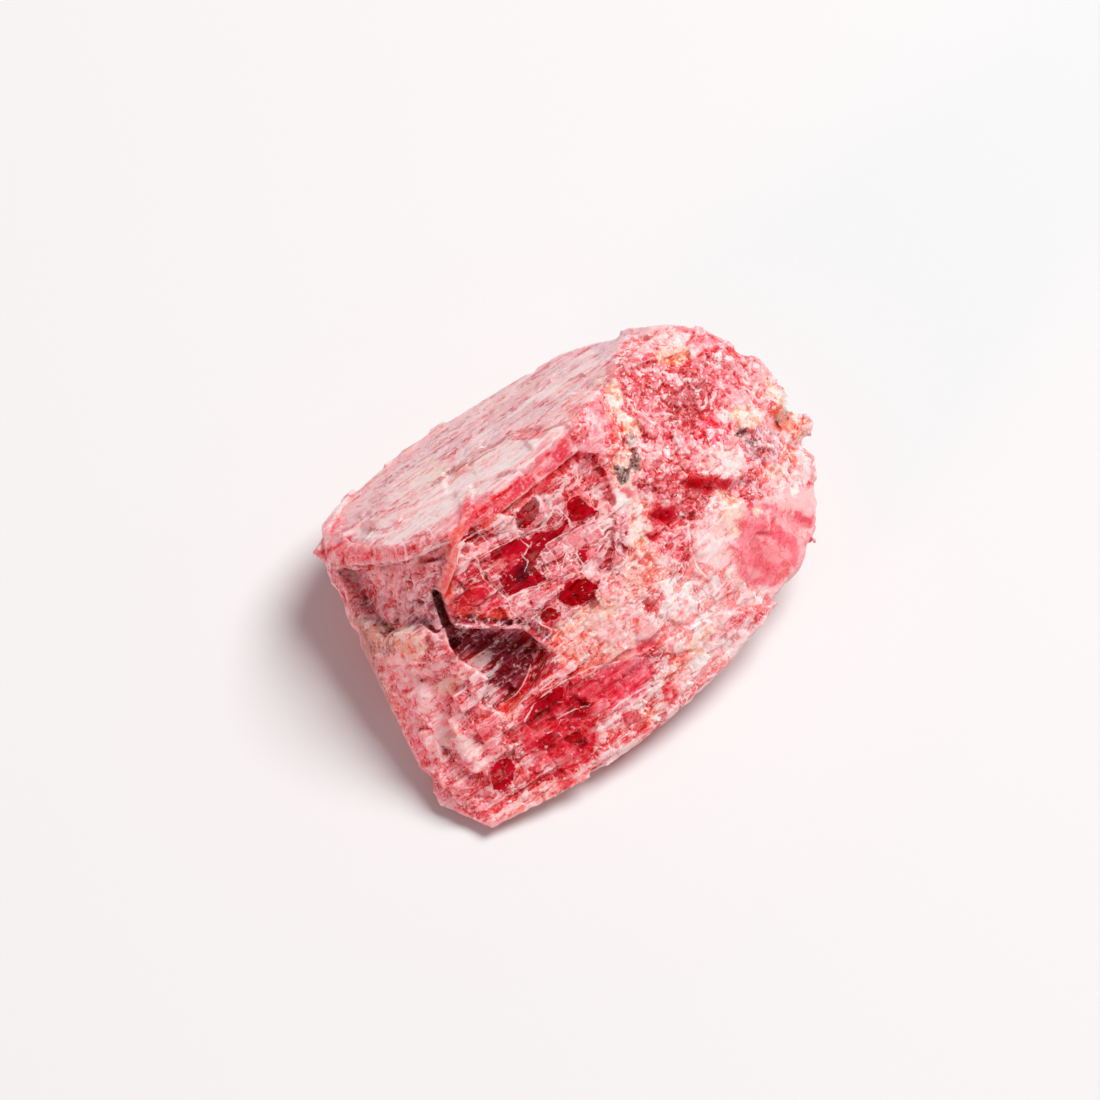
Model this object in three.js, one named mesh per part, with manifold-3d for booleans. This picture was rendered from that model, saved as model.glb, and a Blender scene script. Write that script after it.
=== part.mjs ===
// Rough rhodonite: one broken lump of a pink manganese silicate, about 39 mm long, as it is sold by
// the piece.
//
// The mineral splits along two directions that meet at nearly a right angle, so the lump is a squat
// prism that lies with one edge up. That edge, the ridge, runs along X. A pale cleavage face falls
// away behind it (+Y), and a rougher front falls away before it (-Y). A plate still covers the pale
// face. Its broken edge, a row of glassy blocks, a deep hollow and a granular crown give the stone
// its look, and all of them are cut here in one solid.
//
// Units are millimetres, +Z is up, and the origin is the middle of the bounding box, on the surface
// below.

import * as THREE from "three";
import { ConvexGeometry } from "three/addons/geometries/ConvexGeometry.js";
import { mergeVertices } from "three/addons/utils/BufferGeometryUtils.js";
import Module from "manifold-3d";

const wasm = await Module();
wasm.setup();

// -------------------------------------------------------------------------------------------------
// From three.js shapes to solids, and back

// A geometry as a manifold-3d solid: only positions are kept, so that shared corners merge.
function solid(geometry) {
  const bare = new THREE.BufferGeometry();
  bare.setAttribute("position", geometry.getAttribute("position"));
  if (geometry.index) bare.setIndex(geometry.index);
  const merged = mergeVertices(bare, 1e-4);
  return new wasm.Manifold(
    new wasm.Mesh({
      numProp: 3,
      vertProperties: new Float32Array(merged.attributes.position.array),
      triVerts: new Uint32Array(merged.index.array),
    }),
  );
}

function geometryOf(manifold) {
  const { numProp, numVert, vertProperties, triVerts } = manifold.getMesh();
  const corners = new Float32Array(numVert * 3);
  for (let i = 0; i < numVert; i++) {
    corners.set(vertProperties.subarray(i * numProp, i * numProp + 3), i * 3);
  }
  const geometry = new THREE.BufferGeometry();
  geometry.setAttribute("position", new THREE.BufferAttribute(corners, 3));
  geometry.setIndex(new THREE.BufferAttribute(triVerts, 1));
  return geometry;
}

// The smallest convex solid round a list of [x, y, z] corners.
function hull(corners) {
  return solid(new ConvexGeometry(corners.map((c) => new THREE.Vector3(...c))));
}

// The same list of random numbers on every run.
function seeded(seed) {
  let state = seed;
  return (low = 0, high = 1) => {
    state = (state + 0x6d2b79f5) | 0;
    let x = Math.imul(state ^ (state >>> 15), 1 | state);
    x = (x + Math.imul(x ^ (x >>> 7), 61 | x)) ^ x;
    return low + ((high - low) * ((x ^ (x >>> 14)) >>> 0)) / 4294967296;
  };
}

const joined = (parts) => parts.reduce((whole, part) => whole.add(part));

// -------------------------------------------------------------------------------------------------
// The main faces
//
// Each face has a frame. Its third axis points out of the stone, towards a compass bearing from +X
// and tilted that far from upright. Its first axis, s, is level, and its second, t, runs up the
// slope.

// The top of the ridge, where the pale face and the two halves of the front meet.
const CREST = [0.4, 2.2, 19.6];

const PALE = { at: CREST, bearing: 103, tilt: 45 };
const FRONT_LEFT = { at: CREST, bearing: -111, tilt: 41 };
const FRONT_RIGHT = { at: CREST, bearing: -69, tilt: 46 };
const LEFT_END = { at: [-16.5, 4, 9.9], bearing: 180, tilt: 62 };
const CROWN = { at: [8.2, -5.6, 12.1], bearing: -50, tilt: 36 };
const BACK_WALL = { at: [-2, 14, 4], bearing: 90, tilt: 97 };
const RIGHT_WALL = { at: [16, -1, 6], bearing: -8, tilt: 118 };

function frameOn({ at, bearing, tilt }) {
  const b = THREE.MathUtils.degToRad(bearing);
  const t = THREE.MathUtils.degToRad(tilt);
  const out = new THREE.Vector3(Math.cos(b) * Math.sin(t), Math.sin(b) * Math.sin(t), Math.cos(t));
  const level = new THREE.Vector3(-Math.sin(b), Math.cos(b), 0);
  const up = new THREE.Vector3().crossVectors(out, level);
  return new THREE.Matrix4().makeBasis(level, up, out).setPosition(...at);
}

// -------------------------------------------------------------------------------------------------
// The lump itself, as one convex body round its corners

const RIDGE = [
  [-16.5, 10, 8.5],
  [-13.9, 3.2, 14.9],
  [-11.2, 1.2, 17.2],
  [-8.6, 2.6, 17.1],
  [0.4, 2.2, 19.6],
  [5, 4.1, 18.7],
];
const BACK_EDGE = [
  [-15.1, 12.6, 6.9],
  [-11.8, 14.5, 5.5],
  [-6, 15.5, 5.8],
  [0.6, 14.3, 8.2],
  [6.9, 12.8, 11],
  [10.7, 9.7, 14.2],
];
const RIGHT_EDGE = [
  [13.4, 7.7, 14.8],
  [15.2, 6.4, 14.5],
  [18.1, 2.6, 12.2],
  [19.4, -0.8, 9.1],
  [18.2, -4, 7],
  [16, -7.5, 5.7],
  [14.6, -9.5, 5.4],
  [12.5, -10.7, 5.2],
  [9.7, -11.5, 4.9],
];
const FRONT_EDGE = [
  [6.6, -12.3, 3.3],
  [2.1, -13.3, 3.5],
  [-3.4, -14.2, 2.3],
  [-10.3, -14.5, 2],
  [-18, -13.2, 1],
];
const LEFT_EDGE = [
  [-20, -9.4, 1],
  [-19.5, -5.9, 1.7],
  [-18.7, -0.7, 4.6],
  [-17.3, 5.6, 4.8],
  [-16.9, 9, 5.5],
];
const FRONT_SWELL = [
  [1.8, -1.8, 15.8],
  [-1.8, -9.2, 9.5],
  [8.2, -5.6, 12.1],
];
const FOOT_OUTLINE = [
  [-17, -11],
  [-9, -12],
  [0, -11],
  [7, -8.5],
  [12, -4],
  [13, 3],
  [9, 9.5],
  [1, 12],
  [-6, 13],
  [-12, 10],
  [-14.5, 2],
  [-17, -5],
];
const FOOT = FOOT_OUTLINE.map(([x, y]) => [x, y, 0]);
const CORNERS = [RIDGE, BACK_EDGE, RIGHT_EDGE, FRONT_EDGE, LEFT_EDGE, FRONT_SWELL, FOOT].flat();

const HEART = [0, 0, 7]; // a point deep inside the lump
const MEAN_RADIUS = 13; // from the heart to the skin, on average

// The lump grown or shrunk all round, so that its skin moves out by about this much.
function lumpGrown(by) {
  const scale = 1 + by / MEAN_RADIUS;
  const moved = (corner) => corner.map((value, axis) => HEART[axis] + scale * (value - HEART[axis]));
  return hull(CORNERS.map(moved));
}

const lump = lumpGrown(0);
const skin = new THREE.Mesh(geometryOf(lump), new THREE.MeshBasicMaterial());
const REACH = 30; // further out than any part of the skin
const SAME_FACE = Math.cos(THREE.MathUtils.degToRad(38)); // past this turn another face begins

// How far the lump's skin stands out from a face's plane at (s, t), or undefined where that face
// has ended.
function skinHeight(face, s, t) {
  const frame = frameOn(face);
  const from = new THREE.Vector3(s, t, REACH).applyMatrix4(frame);
  const inward = new THREE.Vector3(0, 0, -1).transformDirection(frame);
  const [hit] = new THREE.Raycaster(from, inward).intersectObject(skin);
  if (!hit || -hit.face.normal.dot(inward) < SAME_FACE) return undefined;
  return REACH - hit.distance;
}

// -------------------------------------------------------------------------------------------------
// Ways to raise and sink parts of a face

// A block with square walls on a face: an outline in the face's own plane, from one height to
// another.
function block(face, outline, low, high) {
  const shape = new THREE.Shape(outline.map(([s, t]) => new THREE.Vector2(s, t)));
  const geometry = new THREE.ExtrudeGeometry(shape, { depth: high - low, bevelEnabled: false });
  geometry.translate(0, 0, low);
  geometry.applyMatrix4(frameOn(face));
  return solid(geometry);
}

const ABOVE = 6; // clear of the skin, over any face
const BELOW = -4; // deeper than any layer that is raised or sunk

// A layer of even height laid over part of the skin.
const raised = (face, outline, by) => block(face, outline, BELOW, ABOVE).intersect(lumpGrown(by));
const SWELL = 0.35; // no block or grain stands further out of the skin than this

// A layer of even depth to take off part of the skin.
const sunk = (face, outline, by) => block(face, outline, BELOW, ABOVE).subtract(lumpGrown(-by));

// A box on a face, given by the middle of its top, its sizes, its turn in the plane and the lean of
// its top.
function brick(face, [s, t, top], [length, width, depth], turn, lean) {
  const geometry = new THREE.BoxGeometry(length, width, depth);
  geometry.translate(0, 0, -depth / 2);
  const pose = new THREE.Matrix4().makeRotationFromEuler(new THREE.Euler(lean[0], lean[1], turn, "ZYX"));
  geometry.applyMatrix4(pose.setPosition(s, t, top));
  geometry.applyMatrix4(frameOn(face));
  return solid(geometry);
}

// A flattened ball on a face, given by its middle, its three radii and its turn in the plane.
function dome(face, [s, t, h], radii, turn) {
  const geometry = new THREE.SphereGeometry(1, 16, 10);
  geometry.scale(...radii);
  geometry.rotateZ(turn);
  geometry.translate(s, t, h);
  geometry.applyMatrix4(frameOn(face));
  return solid(geometry);
}

function inside(outline, s, t) {
  let within = false;
  outline.forEach(([s1, t1], i) => {
    const [s2, t2] = outline.at(i - 1);
    if (t1 > t !== t2 > t && s < s1 + ((t - t1) / (t2 - t1)) * (s2 - s1)) within = !within;
  });
  return within;
}

const OVERLAP = 0.08; // so that neighbouring blocks are one solid
const BLOCK_DEPTH = 2;

// Cleavage blocks in rows over part of a face. Rows lie a pitch apart and run at a turn to the
// level axis. Each block has its own length, leans a little, and its top stands a step out of the
// skin, or out of a given floor.
function courses(face, outline, { turn, pitch, length, step, lean = 0.06, floor, seed }) {
  const random = seeded(seed);
  const centre = new THREE.Vector2();
  const corners = outline.map(([s, t]) => new THREE.Vector2(s, t).rotateAround(centre, -turn));
  const { min, max } = new THREE.Box2().setFromPoints(corners);
  const rows = [];
  for (let across = min.y + pitch / 2; across < max.y; across += pitch) {
    let along = min.x - random(0, length[1]);
    while (along < max.x) {
      const size = random(...length);
      const middle = new THREE.Vector2(along + size / 2, across).rotateAround(centre, turn);
      along += size;
      const base = floor ?? skinHeight(face, middle.x, middle.y);
      if (base === undefined || !inside(outline, middle.x, middle.y)) continue;
      const top = base + random(...step);
      const sizes = [size + OVERLAP, pitch + OVERLAP, BLOCK_DEPTH];
      const tips = [random(-lean, lean), random(-lean, lean)];
      rows.push(brick(face, [middle.x, middle.y, top], sizes, turn, tips));
    }
  }
  return joined(rows);
}

// Broken grains scattered over part of a face: each is a small convex chip, half buried in the
// skin.
function grains(face, outline, { count, size, flat, step, seed }) {
  const random = seeded(seed);
  const bounds = new THREE.Box2().setFromPoints(outline.map(([s, t]) => new THREE.Vector2(s, t)));
  const chips = [];
  while (chips.length < count) {
    const s = random(bounds.min.x, bounds.max.x);
    const t = random(bounds.min.y, bounds.max.y);
    const base = skinHeight(face, s, t);
    if (base === undefined || !inside(outline, s, t)) continue;
    chips.push(grain(face, [s, t, base + random(...step)], random(...size), flat, random));
  }
  return joined(chips);
}

// One chip: the convex body round the eight corners of a box, each pulled in or out by chance.
function grain(face, [s, t, h], size, flat, random) {
  const turn = random(0, Math.PI);
  const corners = [];
  for (const x of [-1, 1]) {
    for (const y of [-1, 1]) {
      for (const z of [-1, 1]) {
        const corner = new THREE.Vector3(x * random(0.5, 1), y * random(0.4, 0.8), z * random(0.5, 1));
        corner.z *= flat;
        corner.applyAxisAngle(new THREE.Vector3(0, 0, 1), turn);
        corner.multiplyScalar(size / 2);
        corners.push(corner.add(new THREE.Vector3(s, t, h)).applyMatrix4(frameOn(face)).toArray());
      }
    }
  }
  return hull(corners);
}

// -------------------------------------------------------------------------------------------------
// The pale face, and the plate that covers it

const PLATE_THICKNESS = 1.9;
const PLATE_EXTENT = [
  [-14, -24],
  [16, -24],
  [16, 4],
  [-14, 4],
];
const LEDGE_THICKNESS = 1.35; // the same plate is thinner where it juts over the left end
const plate = block(PALE, PLATE_EXTENT, -PLATE_THICKNESS, ABOVE);
const ledge = block(PALE, PLATE_EXTENT, -LEDGE_THICKNESS, ABOVE);

const BARE_STEP = 0.35; // how much lower the face lies where the outer leaf of the plate has come away
const BARE_FACE = [
  [13.6, -16.9],
  [6.1, -21.5],
  [-0.5, -19.2],
  [-6.4, -14.9],
  [-11.2, -10.1],
  [-11.8, -4.6],
  [-8.7, -3.3],
  [-4.6, -1.7],
  [0.8, -4.1],
  [1.1, -6.8],
  [2.7, -7.7],
  [6.7, -11.2],
  [9.5, -15],
];
const CORNER_PIT = [
  [13.4, -15],
  [11.8, -14.4],
  [12.2, -11.9],
  [13.9, -12],
];
const INNER_LEAF = [
  [11.4, -10.4],
  [10.6, -7.6],
  [8.2, -5.2],
  [4.6, -0.6],
  [5.6, -3.2],
  [8.6, -7.2],
];

const SCALES = { count: 10, size: [1.2, 2.6], flat: 0.15, step: [-0.45, -0.25], seed: 3 };

const paleFace = {
  cuts: [
    sunk(PALE, BARE_FACE, BARE_STEP),
    sunk(PALE, CORNER_PIT, 0.9),
    sunk(PALE, INNER_LEAF, 0.3),
  ],
  adds: [grains(PALE, BARE_FACE, SCALES)],
};

// -------------------------------------------------------------------------------------------------
// The left half of the front: glassy blocks under the plate, a red wedge, a deep hollow and more
// blocks below

const ROW_TURN = THREE.MathUtils.degToRad(21); // the second cleavage, as it crosses this face
const STRIATION_TURN = THREE.MathUtils.degToRad(24);

const UPPER_BLOCKS = [
  [-8.8, -2.8],
  [0.4, 0.6],
  [1.2, -1.8],
  [2.2, -6.2],
  [1.1, -10.5],
  [-0.1, -12.9],
  [-5.1, -16.3],
  [-6.6, -13.9],
  [-8.2, -8.4],
  [-10.2, -5],
];
const RED_WEDGE = [
  [-10.4, -6.6],
  [-8.2, -7.4],
  [-6.6, -13.6],
  [-8.3, -13.3],
  [-11.9, -12.3],
  [-12, -10.2],
];
const HOLLOW = [
  [-12.1, -12.5],
  [-10.4, -12.9],
  [-6.5, -13.9],
  [-4.9, -16.2],
  [-6.7, -18.4],
  [-9, -20],
  [-10.9, -18.7],
  [-9.7, -17],
  [-11.7, -15],
  [-12.1, -13.8],
];
const CRACK = [
  [-12.5, -9.6],
  [-11.9, -9.8],
  [-11.5, -12.3],
  [-10.9, -14.9],
  [-11.6, -15.1],
  [-12.2, -12.4],
];
const VEIN = [
  [-8.6, -2.6],
  [-9.9, -5.6],
  [-11.1, -7.5],
  [-12.2, -9.7],
  [-11.7, -10.1],
  [-10.5, -8],
  [-9.3, -5.9],
  [-8, -2.9],
];
const LOWER_BLOCKS = [
  [-14.6, -16.2],
  [-12.2, -15.6],
  [-10.6, -18.6],
  [-8.9, -20.1],
  [-6.5, -18.6],
  [-1.3, -16.8],
  [1.6, -17.4],
  [1.2, -22.6],
  [-4.4, -25.4],
  [-11.4, -26.6],
  [-13.6, -24.6],
  [-14.4, -19],
];
const RED_FAN = [
  [-7.3, -18.3],
  [-4.6, -16.4],
  [-3.3, -17.5],
  [-4.9, -19.7],
  [-8.4, -21],
];
const PEACH_LIP = [
  [-17, -13.9],
  [-15.7, -12.7],
  [-13.6, -12.3],
  [-12.3, -13.5],
  [-11.6, -14.8],
  [-13.8, -15],
  [-16, -15],
];

const UPPER_ROWS = { turn: ROW_TURN, pitch: 1.75, length: [1.5, 3.4], step: [-0.85, -0.15], seed: 11 };
const LOWER_ROWS = { turn: ROW_TURN, pitch: 1.45, length: [1.3, 3], step: [-0.6, 0.1], seed: 24 };
const HOLLOW_DEPTH = 1.7;
const STRIATIONS = {
  turn: STRIATION_TURN,
  pitch: 0.75,
  length: [3, 6],
  step: [-0.2, 0.5],
  floor: -HOLLOW_DEPTH,
  seed: 5,
};

const frontLeft = {
  cuts: [
    sunk(FRONT_LEFT, UPPER_BLOCKS, 1).subtract(plate),
    sunk(FRONT_LEFT, RED_WEDGE, 1.3).subtract(plate),
    sunk(FRONT_LEFT, LOWER_BLOCKS, 0.7),
  ],
  adds: [
    courses(FRONT_LEFT, UPPER_BLOCKS, UPPER_ROWS),
    courses(FRONT_LEFT, LOWER_BLOCKS, LOWER_ROWS),
    raised(FRONT_LEFT, PEACH_LIP, 0.3),
    raised(FRONT_LEFT, RED_FAN, 0.15),
  ],
  lateCuts: [block(FRONT_LEFT, HOLLOW, -HOLLOW_DEPTH, ABOVE), block(FRONT_LEFT, CRACK, -2, ABOVE)],
  lateAdds: [
    courses(FRONT_LEFT, HOLLOW, STRIATIONS),
    raised(FRONT_LEFT, VEIN, 0.25),
  ],
};

// -------------------------------------------------------------------------------------------------
// The left end, hollowed out below the plate

const POCKET = [
  [-5.2, -1.4],
  [-4.4, 2],
  [1.4, 6],
  [3.6, 10.1],
  [4.5, 7.9],
  [5.3, 4.8],
  [6.6, 3.6],
  [6.2, 1.7],
  [3.6, -2.7],
  [-1.6, -2.7],
];
const GLASSY_FACET = [
  [1.6, 4.2],
  [4.4, 7.8],
  [5.3, 4.8],
  [5.3, 3.5],
  [2.9, 2.2],
];
const LEFT_FLANK = [
  [7, 0.5],
  [4.6, -3],
  [9, -6],
  [13.4, -7.6],
  [13.6, -3.6],
  [10.4, 0.6],
];
const LEFT_TIP = [
  [-16.7, 10.7, 7.7],
  [-17, 11.2, 6.6],
  [-16.6, 9.7, 6.5],
  [-14.8, 9.8, 8.1],
  [-14.8, 11, 6],
  [-14.4, 12, 7],
];

const POCKET_GRAINS = { count: 9, size: [1.2, 2.6], flat: 0.4, step: [-1.4, -0.9], seed: 8 };
const FLANK_GRAINS = { count: 5, size: [1.2, 2.4], flat: 0.3, step: [-0.25, 0], seed: 17 };

const leftEnd = {
  cuts: [sunk(LEFT_END, POCKET, 1.2).subtract(ledge)],
  adds: [
    raised(LEFT_END, GLASSY_FACET, -0.45),
    grains(LEFT_END, POCKET, POCKET_GRAINS),
    grains(LEFT_END, LEFT_FLANK, FLANK_GRAINS),
  ],
  lateAdds: [hull(LEFT_TIP)],
};

// -------------------------------------------------------------------------------------------------
// The right half of the front: a granular body with a knuckle, pits, a smooth lens and flaky ledges
// at its foot

const KNUCKLE = [
  [-0.2, 0.4],
  [4.1, 0.6],
  [2, -3.6],
  [0.8, -4],
  [0, -3.2],
  [-0.8, -2.1],
];
const CREAM_GROOVE = [
  [4.9, 0.8],
  [5.6, -1.2],
  [3.2, -4.4],
  [2, -6],
  [0.4, -6],
  [0.9, -4.6],
  [2.3, -3.8],
  [4.1, -0.8],
];
const PITS = [
  [
    [1.4, -9.2],
    [2.7, -10.5],
    [2.3, -12.2],
    [0.4, -11.4],
    [0, -9.9],
  ],
  [
    [3.6, -10.4],
    [7.9, -13.4],
    [7.9, -14.7],
    [4.5, -13.4],
    [3.4, -11.8],
  ],
];
const PINK_BLOCK = [
  [8.2, -8.7],
  [9.9, -9.9],
  [9.2, -11.8],
  [6.9, -13.1],
  [5.4, -10.6],
];
const LENS = { middle: [6, -19.8], radii: [3.3, 2.3], turn: -0.3 };
const LENS_BED = [
  [3, -17],
  [5.4, -16.6],
  [9, -17.7],
  [10, -20],
  [8, -22.3],
  [4.8, -22.8],
  [2.4, -21.6],
  [2, -19],
];
const MOUND = { middle: [2.4, -16.2], radii: [2.4, 2.8], turn: 0.4 };
const UPPER_LEDGE = [
  [-7.9, -16],
  [-3.1, -17.8],
  [1.1, -20.5],
  [1.9, -22.3],
  [-0.6, -22],
  [-4.4, -19.1],
];
const LOWER_LEDGE = [
  [-13.7, -16.3],
  [-7.7, -18.3],
  [-3.7, -19.8],
  [-0.2, -22.3],
  [-1.7, -22.8],
  [-4.1, -22.6],
  [-10.5, -21.8],
  [-14.5, -20.4],
];
const BODY = [
  [2.6, -5],
  [9, -6],
  [12.4, -11],
  [13, -16],
  [9, -16.4],
  [3, -16.6],
  [0.4, -20],
  [-4, -18],
  [-9, -16],
  [-6.4, -11],
  [-1.6, -8],
];
const CROWN_BED = [
  [5.2, 11],
  [11, 5.1],
  [10.5, -0.8],
  [8, -4.4],
  [0.9, -1.7],
  [-3.3, 5.6],
  [0.3, 8.6],
];
const RIGHT_TOOTH = [
  [19.5, -1.6, 8.7],
  [19.7, -2.3, 8.2],
  [18.9, -3, 7.6],
  [18.2, -2.6, 9.2],
  [18, -1, 9.4],
  [17.6, -1.8, 6.8],
];
const LOW_NUB = [
  [-1.6, -13.4, 1],
  [-0.3, -12.9, 0.6],
  [-2.6, -13.1, 2],
  [-1, -11, 3],
  [0.5, -11, 2],
  [-2, -11, 0.4],
];

const FLAKES = { count: 30, size: [1.4, 3.4], flat: 0.28, step: [-0.35, 0], seed: 31 };
const CRUMBS = { count: 46, size: [0.9, 2.1], flat: 0.55, step: [-0.5, -0.1], seed: 46 };

const frontRight = {
  cuts: [
    sunk(FRONT_RIGHT, CREAM_GROOVE, 0.5),
    sunk(FRONT_RIGHT, LENS_BED, 0.4),
    sunk(CROWN, CROWN_BED, 0.35),
  ],
  adds: [
    raised(FRONT_RIGHT, KNUCKLE, 0.4),
    raised(FRONT_RIGHT, UPPER_LEDGE, 0.35),
    raised(FRONT_RIGHT, LOWER_LEDGE, 0.2),
    grains(FRONT_RIGHT, BODY, FLAKES),
    grains(CROWN, CROWN_BED, CRUMBS),
    dome(FRONT_RIGHT, [...MOUND.middle, 0.9], [...MOUND.radii, 1], MOUND.turn),
    dome(FRONT_RIGHT, [...LENS.middle, 0.4], [...LENS.radii, 1.15], LENS.turn),
  ],
  lateCuts: PITS.map((pit) => sunk(FRONT_RIGHT, pit, 0.7)),
  lateAdds: [raised(FRONT_RIGHT, PINK_BLOCK, 0.35), hull(RIGHT_TOOTH), hull(LOW_NUB)],
};

// -------------------------------------------------------------------------------------------------
// The sides that face away: cleavage steps on the back wall and on the undercut right end

const BACK_STEPS = [
  [-10, -3.4],
  [12, -3.4],
  [11, 0.6],
  [4, 1.8],
  [-8, 4.4],
  [-10, 2],
];
const RIGHT_STEPS = [
  [-5, -4],
  [5, -4],
  [6, 3],
  [2, 5],
  [-4, 2],
];

const BACK_ROWS = { turn: 0.15, pitch: 1.6, length: [2.2, 5.5], step: [-0.6, 0], seed: 52 };
const RIGHT_ROWS = { turn: -0.3, pitch: 1.7, length: [1.6, 3.8], step: [-0.6, 0], seed: 67 };

const farSides = {
  cuts: [sunk(BACK_WALL, BACK_STEPS, 0.7), sunk(RIGHT_WALL, RIGHT_STEPS, 0.7)],
  adds: [
    courses(BACK_WALL, BACK_STEPS, BACK_ROWS),
    courses(RIGHT_WALL, RIGHT_STEPS, RIGHT_ROWS),
  ],
};

// Bites out of the sharp edges, each a grain centred just outside its edge.
function edgeChips(edge, { size, clear, seed }) {
  const random = seeded(seed);
  const onPlan = { at: [0, 0, 0], bearing: 0, tilt: 0 };
  return edge.slice(1).map((corner, i) => {
    const middle = new THREE.Vector3(...edge[i]).lerp(new THREE.Vector3(...corner), random(0.2, 0.8));
    const outward = middle.clone().sub(new THREE.Vector3(...HEART)).normalize();
    const { x, y, z } = middle.addScaledVector(outward, clear);
    // The plan frame's s axis is Y and its t axis is -X.
    return grain(onPlan, [y, -x, z], random(...size), 1, random);
  });
}
const chips = [
  ...edgeChips(BACK_EDGE, { size: [1.8, 3.4], clear: 0.55, seed: 71 }),
  ...edgeChips(RIGHT_EDGE, { size: [1.2, 2.2], clear: 0.5, seed: 83 }),
  ...edgeChips(FRONT_EDGE, { size: [1.4, 2.8], clear: 0.5, seed: 94 }),
  ...edgeChips(LEFT_EDGE, { size: [1.6, 3], clear: 0.5, seed: 102 }),
];

// -------------------------------------------------------------------------------------------------
// One stone, on a flat foot

const groups = [paleFace, frontLeft, leftEnd, frontRight, farSides];
const all = (name) => groups.flatMap((part) => part[name] ?? []);

let rough = lump.subtract(joined([...all("cuts"), ...chips]));
rough = rough.add(joined(all("adds")).intersect(lumpGrown(SWELL)));
rough = rough.subtract(joined(all("lateCuts")));
rough = rough.add(joined(all("lateAdds")));

const ROOM = 80; // more than the stone in every direction
const aboveTheSurface = solid(new THREE.BoxGeometry(ROOM, ROOM, ROOM).translate(0, 0, ROOM / 2));
const pieces = rough.intersect(aboveTheSurface).decompose();
const whole = pieces.reduce((largest, piece) => (piece.volume() > largest.volume() ? piece : largest));

const geometry = geometryOf(whole);
geometry.computeBoundingBox();
const { min, max } = geometry.boundingBox;
geometry.translate(-(min.x + max.x) / 2, -(min.y + max.y) / 2, -min.z);

const stone = new THREE.Mesh(
  geometry,
  new THREE.MeshStandardMaterial({ color: 0xd4707a, roughness: 0.45, metalness: 0 }),
);
stone.name = "rhodonite";

const group = new THREE.Group();
group.add(stone);
export default group;
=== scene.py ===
# %% [markdown]
# # Rough rhodonite
#
# A broken lump of rhodonite, a pink manganese silicate, as it is sold by the piece. The mineral splits
# along two flat directions that meet at nearly a right angle, so it breaks into a heap of small blocks.
# Where a block is whole it is glassy and wine red. Where it is crushed, light scatters on thousands of
# tiny cracks and the same mineral looks pink or white.
#
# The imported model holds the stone's true size and main forms. This lesson dresses it: a finer skin with
# cleavage steps, grains and striations, then colours that follow those forms, and one glassy material.

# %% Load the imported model
import math

import bpy
import numpy as np
from mathutils import Matrix, Vector


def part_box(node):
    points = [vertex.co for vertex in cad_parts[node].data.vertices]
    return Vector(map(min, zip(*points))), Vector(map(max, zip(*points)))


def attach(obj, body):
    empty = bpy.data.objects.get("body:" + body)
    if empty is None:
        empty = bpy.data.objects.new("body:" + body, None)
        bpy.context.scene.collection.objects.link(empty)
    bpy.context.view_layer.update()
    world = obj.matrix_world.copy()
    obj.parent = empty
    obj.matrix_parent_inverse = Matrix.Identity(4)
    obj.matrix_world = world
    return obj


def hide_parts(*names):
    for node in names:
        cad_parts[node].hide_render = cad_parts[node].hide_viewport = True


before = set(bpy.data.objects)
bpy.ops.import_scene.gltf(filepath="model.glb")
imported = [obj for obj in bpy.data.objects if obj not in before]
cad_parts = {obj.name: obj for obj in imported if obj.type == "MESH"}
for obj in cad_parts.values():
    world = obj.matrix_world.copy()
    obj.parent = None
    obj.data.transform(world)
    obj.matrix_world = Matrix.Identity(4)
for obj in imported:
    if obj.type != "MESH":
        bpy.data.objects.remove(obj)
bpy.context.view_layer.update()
NODE = "rhodonite"
MM = 0.001
low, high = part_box(NODE)
print("stone size in mm:", [round(v / MM, 1) for v in high - low])

# %% [markdown]
# ## The camera
#
# The stone is seen from high up, as it would be on a table in front of you, and from the left of its
# front. A long lens from a little under half a metre keeps its edges nearly parallel. Colour and relief
# are also placed by where they lie in this view, so the camera comes first and its sums are kept in one
# helper, `in_view`, which says where a point of the stone falls in a picture 1100 pixels wide.

# %% Set up the camera
AZIMUTH = math.radians(-36)
ELEVATION = math.radians(58)
DISTANCE = 430.0
LOOK_AT = np.array([-4.85, -2.87, 13.5])
PICTURE = 1100
PIXELS_PER_MM = 13.7
SENSOR = 36.0
NEAREST = 0.01

toward_camera = np.array([
    math.sin(AZIMUTH) * math.cos(ELEVATION),
    -math.cos(AZIMUTH) * math.cos(ELEVATION),
    math.sin(ELEVATION),
])
view_right = np.array([math.cos(AZIMUTH), math.sin(AZIMUTH), 0.0])
view_up = np.cross(toward_camera, view_right)
eye = LOOK_AT + DISTANCE * toward_camera


def in_view(points):
    """Where points, in millimetres, fall in the picture, in pixels from its top left corner."""
    away = points - eye
    depth = -(away @ toward_camera)
    focal = PIXELS_PER_MM * DISTANCE
    across = PICTURE / 2 + focal * (away @ view_right) / depth
    down = PICTURE / 2 - focal * (away @ view_up) / depth
    return across, down


camera = bpy.data.objects.new("camera", bpy.data.cameras.new("camera"))
bpy.context.scene.collection.objects.link(camera)
camera.data.sensor_width = SENSOR
camera.data.lens = SENSOR * DISTANCE * PIXELS_PER_MM / PICTURE
camera.data.clip_start = NEAREST
turn = Matrix([view_right, view_up, toward_camera]).transposed().to_4x4()
camera.matrix_world = Matrix.Translation(Vector(eye * MM)) @ turn
bpy.context.scene.camera = camera
print("lens in mm:", round(camera.data.lens, 1))

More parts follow.
